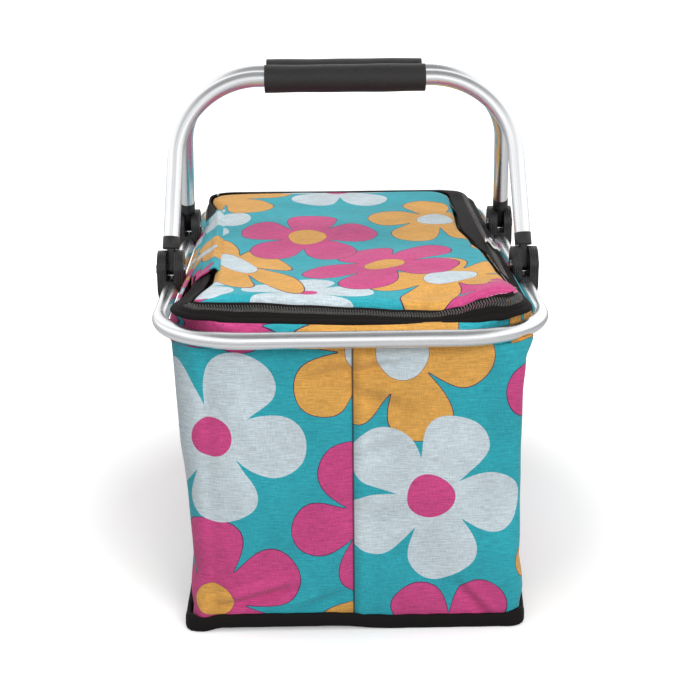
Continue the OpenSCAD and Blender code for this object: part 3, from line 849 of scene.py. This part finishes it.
# The real lid is slack and lies a little askew. These are (place, shift) stops in mm: how far its
# left and right edges have slid across, and how far the near edges of lid and collar have risen.
left_slide = ((-205, 1.5), (-117, 8.4), (-46, 5.4), (48, 1.0), (125, -4.0), (180, -12.0))
right_slide = (
    (-205, 4.5), (-150, 6.5), (-106, 2.0), (-60, 0.0), (-20, -6.0), (40, -12.0), (130, -10.0))
collar_slide = ((-195, 0.5), (-112, 8.5), (-48, 5.5), (75, 3.5), (180, -2.0))
lid_rise = (
    (-113, 4.0), (-70, 3.4), (-35, 1.0), (0, -1.2), (33, -3.4), (56, -4.1), (71, -1.4), (86, 4.6),
    (98, 7.6), (113, 9.0))
collar_rise = (
    (-126, 5.5), (-103, 4.2), (-77, 0.6), (0, -1.0), (53, -3.0), (72, -2.4), (101, 1.2), (115, 4.0))


def settle(point, on_lid=False):
    """Moves a point of the border or the lid as the slack cloth lies. The share of the shift grows
    from the collar to the lid, but the closed teeth of the right side stay straight."""
    x, y, z = point.x / mm, point.y / mm, point.z / mm
    inset = edge_distance(point.x, point.y, rim_x, rim_y, border_bends[2]) / mm
    share = 1.0 if on_lid else ease(inset, 10, 24)
    slid = 1.0 if on_lid else share + (ease(inset, 21.4, 24) - share) * ease(x, -60, 60)
    left, right = follow(left_slide, y), follow(right_slide, y)
    low_slid = follow(collar_slide, y) * ease(-x, 100, 124) * ease(z, 222, 235) * (1 - slid)
    low_rise = follow(collar_rise, x) * ease(z, 222, 234)
    rise = low_rise + (follow(lid_rise, x) - low_rise) * share
    tip = bell(math.hypot(x - 116, y + 206), 40) * share
    point.x += ((left + (right - left) * ease(x, -100, 100)) * slid + low_slid) * mm
    point.y -= 2.5 * tip * mm
    point.z += rise * ease(-y, 145, 200) * mm
    far = ease(y, 160, 204)
    point.z += (-1.6 if on_lid else 3.4 * bell(inset - 19, 7)) * far * mm


collar_flowers = (
    ("pink", -90, -216, 80, 0, 36), ("orange", 0, -216, 72, 0, 0), ("orange", 142, -196, 40, 8, 0),
    ("white", -120, -150, 30, 8, 0), ("pink", -128, -90, 34, 8, 10), ("orange", -126, -20, 42, 10, 30),
    ("white", -128, 70, 38, 10, 40), ("pink", 126, -60, 36, 9, 5), ("orange", -126, 160, 42, 10, 10),
    ("white", 128, 40, 40, 10, 25), ("orange", 126, 140, 38, 10, 50), ("pink", 60, 216, 40, 10, 15),
    ("white", -40, 216, 36, 10, 35),
)
collar_parts = start_material("printed_canvas_collar")
collar_canvas = canvas(collar_parts, collar_parts[2], print_flowers(collar_parts[2], collar_flowers))

# The collar's section, from its foot up: how far outside the walls' top, its bend, and how high.
collar_steps = (
    (-1.0, 14, -0.2), (0.3, 15, 0.3), (2.0, 36, 1.1), (3.4, 57, 2.3), (3.7, 58, 5.7), (3.6, 58, 10.7),
    (2.4, 50, 13.2), (0.4, 38, 15.5), (-1.4, 34, 16.1),
)
collar_rings = [
    (top_x + out * mm, top_y + out * mm, bend * mm, collar_bottom_z + up * mm)
    for out, bend, up in collar_steps
]
collar = rounded_loop("canvas_collar", *collar_rings[0])
raise_loop(collar, collar_rings)
for point in collar.data.vertices:
    x, y, z = point.co
    if z < collar_bottom_z + 0.7 * mm:
        if x < 0 and y < 0:
            point.co.x, point.co.y = on_bend(
                point.co, (top_x, top_y, foot_bend_r), (top_x, top_y, wide_foot_bend_r))
        point.co.z += top_lift(x / mm, y / mm) * mm
    settle(point.co)
modify(collar, "SOLIDIFY", thickness=1.6 * mm, offset=-1)
finish(collar)
smooth(collar, 40)
fit(collar, collar_canvas, "frame", "printed_fabric", "rim_collar")


# ---- Base ----
# The bottom is a black woven panel under a stiff board, sewn to the walls all the way round and
# bound with a fat black tape that stands a little proud and bunches up at each corner.

black_weave, weave_shader, weave_place = start_material("black_woven_polyester")
weave_x, weave_y, _ = split_xyz(weave_place)
weave_checks = times(calc("SINE", times(weave_x, 5200.0)), calc("SINE", times(weave_y, 5200.0)))
weave_fluff = noise(weave_place, 700.0, 4.0, 0.7)
weave_tone = mix_colours(weave_fluff, (0.005, 0.0042, 0.0042, 1), (0.016, 0.0135, 0.0135, 1))
weave_height = calc("ADD", times(weave_checks, 0.25), weave_fluff)
weave_shader.inputs["Specular IOR Level"].default_value = 0.12
coat(weave_shader, weave_tone, remap(weave_fluff, 0.3, 0.7, 0.62, 0.85), weave_height, 0.0003, 0.6)


def base_give(point):
    """Moves a point of the base's edge as the walls' foot goes."""
    x, y = point.x / mm, point.y / mm
    hand = math.copysign(1, x)
    point.x += hand * (belly(y, 0, hand) - 1.1) * ease(abs(x), 60, 118) * mm
    point.z += foot_lift(x, y) * mm


def rounded_slab(name, half_x, half_y, bend_r, low_z, high_z, steps, insets=()):
    """A flat slab with round corners, its top and bottom divided by insets where they're wanted."""
    middle_z = (low_z + high_z) / 2
    slab = start_piece(name, bpy.ops.mesh.primitive_cube_add, size=1, location=(0, 0, middle_z))
    edit(slab)
    bpy.ops.transform.resize(value=(2 * half_x, 2 * half_y, high_z - low_z))
    pick(slab, lambda middle, way: abs(way.z) > 0.9, "EDGE")
    bpy.ops.mesh.bevel(offset=bend_r, segments=steps, affect="EDGES")
    for step in insets:
        pick(slab, lambda middle, way: abs(way.z) > 0.9 and middle.xy.length < 1 * mm)
        bpy.ops.mesh.inset(thickness=step)
    done()
    take_up_place()
    return slab


base_sheet = rounded_slab(
    "base_sheet", base_x, base_y, base_bend_r, 0.0, 0.8 * mm, 8, (3.5 * mm, 3.5 * mm))
edit(base_sheet)
for across in range(-200, 201, 16):
    bpy.ops.mesh.select_all(action="SELECT")
    bpy.ops.mesh.bisect(plane_co=(0, across * mm, 0), plane_no=(0, 1, 0))
    bpy.ops.mesh.select_all(action="SELECT")
    bpy.ops.mesh.bisect(plane_co=(across * 0.56 * mm, 0, 0), plane_no=(1, 0, 0))
done()
for point in base_sheet.data.vertices:
    base_give(point.co)
smooth(base_sheet, 40)
fit(base_sheet, black_weave, "base", "black_fabric", "base_panel")

board_skin, board_shader, board_place = start_material("stiff_board")
board_fibres = noise(board_place, 340.0, 6.0, 0.7)
board_tone = mix_colours(board_fibres, (0.05, 0.048, 0.045, 1), (0.13, 0.125, 0.115, 1))
coat(board_shader, board_tone, 0.8, board_fibres, 0.0002)
wear(nodes["base_board"], board_skin)

film_low, film_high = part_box("base_lining")
film_margin = 5 * mm
film_bend_r = base_bend_r - 5.6 * mm
floor_film = rounded_slab(
    "lining_floor", film_high.x, film_high.y, film_bend_r, film_low.z, film_high.z, 6, (2 * mm, 2 * mm))
for point in floor_film.data.vertices:
    inner = abs(point.co.x) < film_high.x - film_margin and abs(point.co.y) < film_high.y - film_margin
    if inner and point.co.z > film_low.z + 0.1 * mm:
        point.co.z += 0.8 * mm
modify(floor_film, "BEVEL", width=0.2 * mm, segments=2)
finish(floor_film)
smooth(floor_film)
fit(floor_film, silver_film, "base", "lining", "base_lining")


def sewn_path(name, points, closed=False):
    """A line that strips, rows of teeth and stitches are bent along."""
    shape = bpy.data.curves.new(name, "CURVE")
    shape.dimensions = "3D"
    line = shape.splines.new("POLY")
    line.points.add(len(points) - 1)
    for made, place in zip(line.points, points):
        made.co = (*place, 1)
    line.use_cyclic_u = closed
    path = bpy.data.objects.new(name, shape)
    bpy.context.scene.collection.objects.link(path)
    return path


def way_round(shape):
    """The whole way round a rounded rectangle, given as (half x, half y, bends, z)."""
    half_x, half_y, bends, _ = shape
    return 4 * (half_x + half_y) + (math.pi / 2 - 2) * sum(bends)


def bent_line(shape, start, stop):
    """Points along a rounded rectangle, anticlockwise from above. The walk starts at the middle of
    the left side. Bends are near left, near right, far right, far left."""
    half_x, half_y, (first, second, third, fourth), z = shape
    quarter = math.pi / 2
    legs = (
        (half_y - first, None, (-half_x, 0), (0, -1)),
        (first * quarter, first, (first - half_x, first - half_y), 2 * quarter),
        (2 * half_x - first - second, None, (first - half_x, -half_y), (1, 0)),
        (second * quarter, second, (half_x - second, second - half_y), 3 * quarter),
        (2 * half_y - second - third, None, (half_x, second - half_y), (0, 1)),
        (third * quarter, third, (half_x - third, half_y - third), 0),
        (2 * half_x - third - fourth, None, (half_x - third, half_y), (-1, 0)),
        (fourth * quarter, fourth, (fourth - half_x, half_y - fourth), quarter),
        (half_y - fourth, None, (-half_x, half_y - fourth), (0, -1)),
    )
    points = []
    count = max(int((stop - start) / (2.0 * mm)), 8)
    for number in range(count + 1):
        walked = start + (stop - start) * number / count
        for length, bend_r, origin, heading in legs:
            if walked <= length:
                break
            walked -= length
        else:
            walked += length
        if bend_r is None:
            spot = Vector(origin) + Vector(heading) * walked
        else:
            angle = heading + walked / bend_r
            spot = Vector(origin) + Vector((math.cos(angle), math.sin(angle))) * bend_r
        points.append(Vector((*spot, z)))
    return points


def line_length(points):
    return sum((second - first).length for first, second in zip(points, points[1:]))


def run_along(piece, path, step, count, merge=True):
    """Repeats a piece end to end and bends the row along a path."""
    modify(piece, "ARRAY", count=count, use_relative_offset=False, use_constant_offset=True,
        constant_offset_displace=(step, 0, 0), use_merge_vertices=merge, merge_threshold=0.01 * mm)
    modify(piece, "CURVE", object=path, deform_axis="POS_X")
    finish(piece)
    bpy.data.objects.remove(path)


def strip(name, profile, step):
    """A short length of a strip, along X, with a closed outline given as (sideways, upwards)."""
    made = start_piece(name, bpy.ops.mesh.primitive_circle_add, vertices=len(profile), radius=1)
    for point, (sideways, upwards) in zip(made.data.vertices, profile):
        point.co = (0, sideways, upwards)
    edit(made)
    bpy.ops.mesh.extrude_edges_move(TRANSFORM_OT_translate={"value": (step, 0, 0)})
    face_out()
    return made


def cap_ends(piece):
    """Closes the open ends of a finished strip."""
    edit(piece)
    bpy.ops.mesh.select_all(action="DESELECT")
    bpy.ops.mesh.select_mode(type="EDGE")
    bpy.ops.mesh.select_non_manifold(
        use_wire=False, use_multi_face=False, use_non_contiguous=False, use_verts=False)
    bpy.ops.mesh.fill_holes(sides=0)
    face_out()


def leant(sideways, upwards, lean):
    """A place on a strip's section, turned by as much as the strip leans."""
    return (sideways * math.cos(lean) - upwards * math.sin(lean),
        sideways * math.sin(lean) + upwards * math.cos(lean))


def oval(wide, high, lean, points, squareness=1.0):
    """The outline of a rolled or flat strip: an oval, squarer where squareness is under 1."""
    outline = []
    for number in range(points):
        turn = 2 * math.pi * number / points
        across = math.copysign(abs(math.cos(turn)) ** squareness, math.cos(turn)) * wide / 2
        over = math.copysign(abs(math.sin(turn)) ** squareness, math.sin(turn)) * high / 2
        outline.append(leant(across, over, lean))
    return outline


binding_out = 1.9 * mm
binding_z = 5.3 * mm
binding_wide, binding_high = 4.8 * mm, 10.6 * mm
binding_count = 640
binding_shape = (base_x + binding_out, base_y + binding_out, (base_bend_r + binding_out,) * 4, binding_z)
binding_step = way_round(binding_shape) / binding_count
binding_line = bent_line(binding_shape, 0, way_round(binding_shape))[:-1]
binding = strip("base_binding_tape", oval(binding_wide, binding_high, 0, 18, 0.75), binding_step)
run_along(binding, sewn_path("binding path", binding_line, True), binding_step, binding_count)
edit(binding)
bpy.ops.mesh.remove_doubles(threshold=0.3 * mm)
face_out()
for point in binding.data.vertices:
    x, y, z = point.co
    from_corner = math.hypot(max(base_x + 2 * mm - abs(x), 0), max(base_y + 2 * mm - abs(y), 0)) / mm
    bunch = bell(from_corner, 9)
    if bunch > 0.02:
        bent_in = Vector((math.copysign(base_x - 2 * mm, x), math.copysign(base_y - 2 * mm, y), 0))
        away = (point.co - bent_in) * Vector((1, 1, 0))
        swollen = 0.4 + 0.6 * ease(binding_z - z, -4 * mm, 4 * mm)
        point.co += away.normalized() * 2.4 * bunch * mm * swollen
    rise = 2.6 * mm * bunch if z > binding_z else 0.0
    pinch = 0.22 * mm * math.sin(x * 310 + y * 230) + 0.5 * mm * unevenness(point.co * 85)
    point.co.z += rise + pinch * (0.7 if z > binding_z else 0.25)
    base_give(point.co)
    point.co.z = max(point.co.z, 0.0)
smooth(binding, 60)
fit(binding, black_weave, "base", "black_fabric", "base_binding")


# ---- Zip ----
# A sloping border joins the collar to the lid's edge: a rolled black edging, the zip's lower tape,
# its two rows of nylon coil, and the upper tape. The lower half goes on round the left corners.

border_inset = 10.35 * mm
border_z = 235.25 * mm
slope = math.radians(30)
zip_end_y = 95 * mm
zip_corner = math.radians(54)

zip_nylon, nylon_shader, nylon_place = start_material("black_zip_nylon")
# The coil's colour mottles at random between near black and a pale grey. The pale grey is painted highlight,
# so the teeth read as light ticks.
nylon_mottle_and_glint = noise(nylon_place, 1500.0, 3.0, 0.6)
nylon_tone = mix_colours(nylon_mottle_and_glint, (0.035, 0.033, 0.032, 1), (0.2, 0.19, 0.18, 1))
coat(nylon_shader, nylon_tone, remap(nylon_mottle_and_glint, 0.3, 0.7, 0.22, 0.34), nylon_mottle_and_glint, 0.0001)


def border_place(up_slope, lift=0.0):
    """Inset from the rim's line and height of a place on the border, lifted off its surface."""
    inwards, upwards = leant(up_slope, lift, slope)
    return border_inset + inwards, border_z + upwards


def border_strip(name, up_slope, lift, walk, profile, step, body, *replaced):
    """A strip, or a row of teeth, sewn along the border from one walk to another. A walk below zero
    is counted back from the far end of the whole way round."""
    inset, z = border_place(up_slope, lift)
    shape = (rim_x - inset, rim_y - inset, tuple(bend_r - inset for bend_r in border_bends), z)
    start, stop = (end % way_round(shape) for end in walk)
    points = bent_line(shape, start, stop)
    length = line_length(points)
    count = max(int(length / step), 1)
    solid = isinstance(profile, list)
    make = strip if solid else coil_tooth
    made = make(name, profile, length / count)
    run_along(made, sewn_path(name + " path", points), length / count, count, solid)
    if solid:
        cap_ends(made)
    for point in made.data.vertices:
        settle(point.co)
    smooth(made, 50)
    material, slot_name = (black_weave, "black_fabric") if solid else (zip_nylon, "zip_nylon")
    fit(made, material, body, slot_name, *replaced)


def coil_tooth(name, lean, pitch):
    """One turn of the coil: a flattened loop of nylon, a little aslant."""
    tooth = start_piece(name, bpy.ops.mesh.primitive_torus_add, major_segments=10, minor_segments=5,
        major_radius=0.9 * mm, minor_radius=0.31 * mm, rotation=(0, math.pi / 2, 0))
    take_up_place()
    edit(tooth)
    bpy.ops.transform.resize(value=(1, 1.25, 0.8))
    done()
    for point in tooth.data.vertices:
        point.co.x += pitch / 2 + point.co.y * lean
        point.co.y, point.co.z = leant(point.co.y, point.co.z, slope)
    return tooth


tooth_pitch = 1.9 * mm
tape_step = 3 * mm
lower_s, upper_s, band_s = 9.35 * mm, 11.75 * mm, 14.3 * mm
tucked = zip_end_y - 6 * mm
corner_bend_r = border_bends[0]
first_tooth = rim_y - corner_bend_r + (math.pi / 2 - zip_corner) * (corner_bend_r - border_place(upper_s)[0])
under_fold, toothed = (tucked, -tucked), (first_tooth, -first_tooth)

border_strip("zip_edging", 2.0 * mm, -0.9 * mm, under_fold, oval(5.2 * mm, 4.0 * mm, slope, 14),
    tape_step, "frame")
border_strip("zip_lower_band", 6.3 * mm, -0.75 * mm, under_fold, oval(4.4 * mm, 1.9 * mm, slope, 14, 0.7),
    tape_step, "frame", "zip_lower_tape")
border_strip("zip_lower_teeth", lower_s, 0.1 * mm, toothed, 0.5, tooth_pitch, "frame", "zip_lower_coil")
border_strip("zip_upper_teeth", upper_s, 0.1 * mm, toothed, -0.4, tooth_pitch, "lid", "zip_upper_coil")
border_strip("zip_upper_band", band_s, -0.7 * mm, toothed, oval(3.6 * mm, 1.7 * mm, slope, 14, 0.7),
    tape_step, "lid", "zip_upper_tape")


# ---- Zip ends ----
# Round the left corners the two halves of the zip are sewn shut and covered with a flat black
# tape with ribbed edges, which runs in under the fold of the lid at both ends.

covered = first_tooth - 1.2 * mm
for end_name, walk in (("near", (tucked, covered)), ("far", (-covered, -tucked))):
    border_strip("zip_end_cover_" + end_name, 11.9 * mm, -0.7 * mm, walk,
        oval(7.0 * mm, 2.1 * mm, slope, 18, 0.55), tape_step, "frame", "zip_end_" + end_name)
    border_strip("zip_end_rib_" + end_name, 10.0 * mm, 0.2 * mm, walk, oval(1.1 * mm, 0.9 * mm, slope, 10),
        2 * mm, "frame")


# ---- Slider and pull ----
# A die-cast slider rides on the closed teeth of the right side. Its pull is a flat stamped tab
# that turns on the slider's bail. Both are nickel plated, and worn on their edges.

for part, body in (("zip_slider", "slider"), ("zip_pull", "pull")):
    cast = softened_copy(part, "cast_" + part, 0.32 * mm)
    fit(cast, plated_steel, body, "bright_metal", part)


# ---- Lid ----
# The lid is printed canvas over thin foam, with a folded edge and a line of stitching inside it.
# It isn't quilted, so the canvas swells and wanders, and it dips where the zip pulls on it.

lid_x, lid_y = 112.64 * mm, 202.14 * mm
lid_near_r, lid_far_r = 9 * mm, 18 * mm
lid_edge_z = 243.05 * mm
above_lid_z = 300 * mm

lid_print = (
    ("pink", 108, -196, 62, 0, 200), ("white", -31, -184, 32, 5, 15, 0, 1.5),
    ("pink", -116, -198, 26, 0, 40), ("white", -120, -160, 44, 0, -42),
    ("orange", 122, -45, 24, 6, 170, 90, 1.5), ("orange", 75, -141, 50, 15, 184, 40, 1.5),
    ("orange", -86, -93, 36, 12, 22, -66, 3.0), ("pink", 27, -104, 50, 11, 50, 50, 1.6),
    ("pink", 122, -170, 26, 0, 200), ("orange", 78, 57, 58, 15, 23, 90, 1.5),
    ("white", -128, 62, 46, 0, 10, 90, 1.4), ("orange", -108, 172, 62, 0, 16, 90, 1.45),
    ("white", -5, 196, 58, 12, 22, 90, 1.35), ("pink", -32, -2, 58, 16, 13, 90, 1.5),
)


def lid_canvas():
    """The lid's print, seen from above. The folded edge is paler, as the cloth is doubled there."""
    parts = start_material("printed_canvas_lid")
    printed = print_flowers(vector_calc("MULTIPLY", parts[2], (1, 1, 0)), lid_print)
    from_edge = parts[1].id_data.nodes.new("ShaderNodeAttribute")
    from_edge.attribute_name = "inside"
    fold = remap(from_edge.outputs["Fac"], 0.3 * mm, 1.9 * mm, 0.6, 0.0)
    return canvas(parts, parts[2], mix_colours(fold, printed, (0.8, 0.72, 0.64, 1)))


def lid_inside(x, y):
    return edge_distance(x, y, lid_x, lid_y, lid_near_r if y < 0 else lid_far_r)


def lid_wander(x, y):
    """The slow rise and fall of the lid's top, in mm."""
    slow = unevenness(Vector((x / 58, y / 84, 11.3))) * 2.2
    quick = unevenness(Vector((x / 30, y / 36, 4.1))) * 0.7
    pull = -2.0 * bell(math.hypot((x - 62) / 1.3, y + 182), 26)
    roll = 1.6 * bell(math.hypot((x + 10) / 1.6, y + 150), 30)
    tip = 1.4 * crease(x, y, (112, -190), (40, -120), 14, -1.0)
    return slow + quick + pull + roll + tip


def swell(pad):
    """Blows the pad's cloth out a little, mostly upwards, and no further than a few millimetres."""
    farthest = 3.2 * mm
    rest = [point.co.copy() for point in pad.data.vertices]
    cloth = modify(pad, "CLOTH").settings
    cloth.use_pressure = True
    cloth.uniform_pressure_force = 4
    cloth.effector_weights.gravity = 0
    for frame_number in range(1, 21):
        bpy.context.scene.frame_set(frame_number)
    finish(pad)
    bpy.context.scene.frame_set(1)
    for point, before in zip(pad.data.vertices, rest):
        moved = (point.co - before) * Vector((0.3, 0.3, 1))
        if moved.length > farthest:
            moved *= farthest / moved.length
        point.co = before + moved


def swollen_lid():
    """The lid's closed pad, swollen, stitched down inside its edge, and settled askew."""
    pad = rounded_slab("canvas_lid", lid_x - 0.2 * mm, lid_y - 0.2 * mm, 9 * mm,
        lid_edge_z - 5.0 * mm, lid_edge_z + 1.0 * mm, 8)
    modify(pad, "REMESH", mode="VOXEL", voxel_size=3.4 * mm)
    finish(pad)
    swell(pad)
    insides = pad.data.attributes.new("inside", "FLOAT", "POINT")
    for point, kept in zip(pad.data.vertices, insides.data):
        inside = lid_inside(point.co.x, point.co.y)
        kept.value = max(inside, 0)
        if point.co.z > lid_edge_z - 1.5 * mm:
            sway = lid_wander(point.co.x / mm, point.co.y / mm) * mm * ease(inside, 0, 24 * mm)
            stitch = -0.9 * mm * bell(inside - 4.2 * mm, 1.6 * mm)
            point.co.z += sway + stitch
        settle(point.co, True)
    modify(pad, "SMOOTH", iterations=3)
    modify(pad, "SUBSURF", levels=1, render_levels=1)
    finish(pad)
    smooth(pad, 80)
    return pad


lid_material = lid_canvas()
lid = swollen_lid()
fit(lid, lid_material, "lid", "printed_fabric", "lid_outer", "lid_foam", "lid_lining")


def on_lid(x, y):
    """The spot on the lid's top straight below a place, or None beside the lid."""
    met, spot, _, _ = lid.ray_cast(Vector((x, y, above_lid_z)), Vector((0, 0, -1)))
    return spot if met else None


# ---- Lid's fold ----
# Along the left side the lid isn't zipped. Its canvas runs on over the edge as a loose flap, down
# to the collar, and bends there when the lid opens.

fold_half_y = 104 * mm
fold_foot_x, fold_foot_z = -127.2 * mm, 232.6 * mm
fold_drop = 24 * mm


def lay_fold(along, upwards):
    """Drapes the flap from the lid's top, over its left edge, down to the collar."""
    down = (1 - upwards) / 2
    y = along * fold_half_y - 6 * mm * (1 - down) * ease(-along, 0, 1)
    head_x = -lid_x + (follow(left_slide, y / mm) + 7.5) * mm
    foot_x = fold_foot_x + (follow(collar_slide, y / mm) + 0.6 * math.sin(y * 38)) * mm
    spot = on_lid(head_x, y)
    head_z = spot.z if spot else lid_edge_z + 3 * mm
    ridge = 2.1 * bell(down - 0.2, 0.14) - 1.0 * bell(down, 0.1)
    waves = 1.3 * unevenness(Vector((y / mm / 26, down * 1.4, 8.2))) * math.sin(math.pi * down)
    x = head_x + (foot_x - head_x) * down ** 0.95 - waves * mm
    z = fold_foot_z + (head_z - fold_foot_z) * (1 - down ** 2.2) + (ridge + 0.6 * waves) * mm
    return (x, y, z), (y, -down * fold_drop)


fold_print = (
    ("white", 72, -14, 30, 0, 20), ("orange", -38, -12, 40, 9, 10), ("pink", -100, -22, 18, 0, 0),
)
lid_fold = cut_cloth("canvas_lid_fold", 90, 16, lay_fold, 1.0 * mm)
edit(lid_fold)
face_out()
smooth(lid_fold, 60)
wear(lid_fold, sewn_canvas("printed_canvas_fold", fold_print, (9, 9, 0), 0.0))
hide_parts("lid_fold")
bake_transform(lid_fold)


# ---- Topstitching ----
# One row of pale thread runs along the lid's right and far edges and holds the doubled cloth.

thread, thread_shader, thread_place = start_material("pale_thread")
thread_twist = noise(thread_place, (900, 900, 2600), 2.0, 0.6)
thread_tone = mix_colours(thread_twist, (0.5, 0.42, 0.4, 1), (0.82, 0.76, 0.74, 1))
coat(thread_shader, thread_tone, 0.7, thread_twist, 0.0001)


stitch_pitch = 3.3 * mm
stitch_thread_r = 0.3 * mm
before_tip = 18 * mm


def stitch_row(name, inside):
    """Stitches laid on the lid's top, from its near right tip to its far left corner."""
    near_bend_r, far_bend_r = lid_near_r - inside * 0.6, lid_far_r - inside
    half_x, half_y = lid_x - inside, lid_y - inside
    shape = (half_x, half_y, (near_bend_r, near_bend_r, far_bend_r, far_bend_r), 0)
    start = half_y + 2 * half_x - 3 * near_bend_r + near_bend_r * math.pi / 2 - before_tip
    stop = way_round(shape) - half_y + far_bend_r * (1 - math.pi / 2)
    laid = []
    for place in bent_line(shape, start, stop):
        settle(place, True)
        spot = on_lid(place.x, place.y)
        if spot:
            laid.append(spot + Vector((0, 0, 0.12 * mm)))
    length = line_length(laid)
    count = int(length / stitch_pitch)
    stitches = start_piece(name, bpy.ops.mesh.primitive_uv_sphere_add, segments=6, ring_count=5,
        radius=stitch_thread_r, rotation=(0, math.pi / 2, 0))
    take_up_place()
    edit(stitches)
    bpy.ops.transform.resize(value=(4.0, 1.0, 0.8))
    bpy.ops.transform.translate(value=(length / count / 2, 0, 0))
    done()
    run_along(stitches, sewn_path(name + " path", laid), length / count, count, False)
    smooth(stitches, 80)
    fit(stitches, thread, "lid", "printed_fabric")


stitch_row("lid_topstitch", 2.6 * mm)


# ---- Floor, light and camera ----
# A white floor and soft light from above and the front, as in a product studio. The lamps don't
# show in the metal, which mirrors the world's light and the floor's faint glow.

floor_paper, floor_shader, floor_place = start_material("white_paper")
floor_rays = floor_shader.id_data.nodes.new("ShaderNodeLightPath").outputs
floor_glow = remap(vector_calc("LENGTH", floor_place), 0.2, 0.5, 0.24, 0.95)
floor_glow = times(floor_glow, floor_rays["Is Camera Ray"])
floor_glow = calc("MAXIMUM", floor_glow, times(floor_rays["Is Glossy Ray"], 0.14))
floor_white = remap(floor_rays["Is Camera Ray"], 0.0, 1.0, 0.5, 0.86)
plug(floor_white, floor_shader.inputs["Base Color"])
plug(0.9, floor_shader.inputs["Roughness"])
plug((1, 1, 1, 1), floor_shader.inputs["Emission Color"])
plug(floor_glow, floor_shader.inputs["Emission Strength"])
floor = start_piece("studio_floor", bpy.ops.mesh.primitive_plane_add, size=12, location=(0, 2, 0))
take_up_place()
wear(floor, floor_paper)

world = bpy.data.worlds.new("studio")
bpy.context.scene.world = world
world.use_nodes = True
world_light = world.node_tree.nodes["Background"].inputs
world_rays = world.node_tree.nodes.new("ShaderNodeLightPath").outputs
towards = world.node_tree.nodes.new("ShaderNodeTexCoord").outputs["Generated"]
room_side = vector_calc("DOT_PRODUCT", towards, (0, -0.17, 0.985))
mirrored = times(world_rays["Is Glossy Ray"], remap(room_side, 0.62, 0.88, 1.25, 0.33))
seen = calc("MAXIMUM", world_rays["Is Camera Ray"], world_rays["Is Transmission Ray"])
scattered = times(calc("SUBTRACT", 1.0, world_rays["Is Glossy Ray"]), 0.38)
plug((1, 1, 1, 1), world_light["Color"])
plug(calc("MAXIMUM", calc("MAXIMUM", seen, mirrored), scattered), world_light["Strength"])


def soft_box(name, place, aim, wide, power):
    """A square lamp that faces a spot, and doesn't show in the metal."""
    shape = bpy.data.lights.new(name, "AREA")
    shape.size = wide
    shape.energy = power
    lamp = bpy.data.objects.new(name, shape)
    lamp.location = place
    lamp.rotation_euler = (Vector(aim) - Vector(place)).to_track_quat("-Z", "Y").to_euler()
    lamp.visible_glossy = False
    bpy.context.scene.collection.objects.link(lamp)


soft_box("overhead soft box", (-0.3, -0.2, 2.0), (0, 0, 0.1), 1.6, 20)
soft_box("front soft box", (0.9, -2.0, 1.3), (0, 0, 0.15), 1.0, 30)

camera_data = bpy.data.cameras.new("camera")
camera_data.lens = 71.92
camera_data.sensor_width = 36
camera_data.sensor_fit = "HORIZONTAL"
camera_data.clip_start = 0.01
camera = bpy.data.objects.new("camera", camera_data)
sideways, downwards, tilted = -0.01942, math.pi / 2 - 0.30342, -0.00816
camera.matrix_world = (
    Matrix.Translation((-0.01936, -1.13141, 0.5022)) @ Matrix.Rotation(sideways, 4, "Z")
    @ Matrix.Rotation(downwards, 4, "X") @ Matrix.Rotation(tilted, 4, "Z"))
bpy.context.scene.collection.objects.link(camera)
bpy.context.scene.camera = camera
bpy.context.scene.view_settings.view_transform = "Standard"
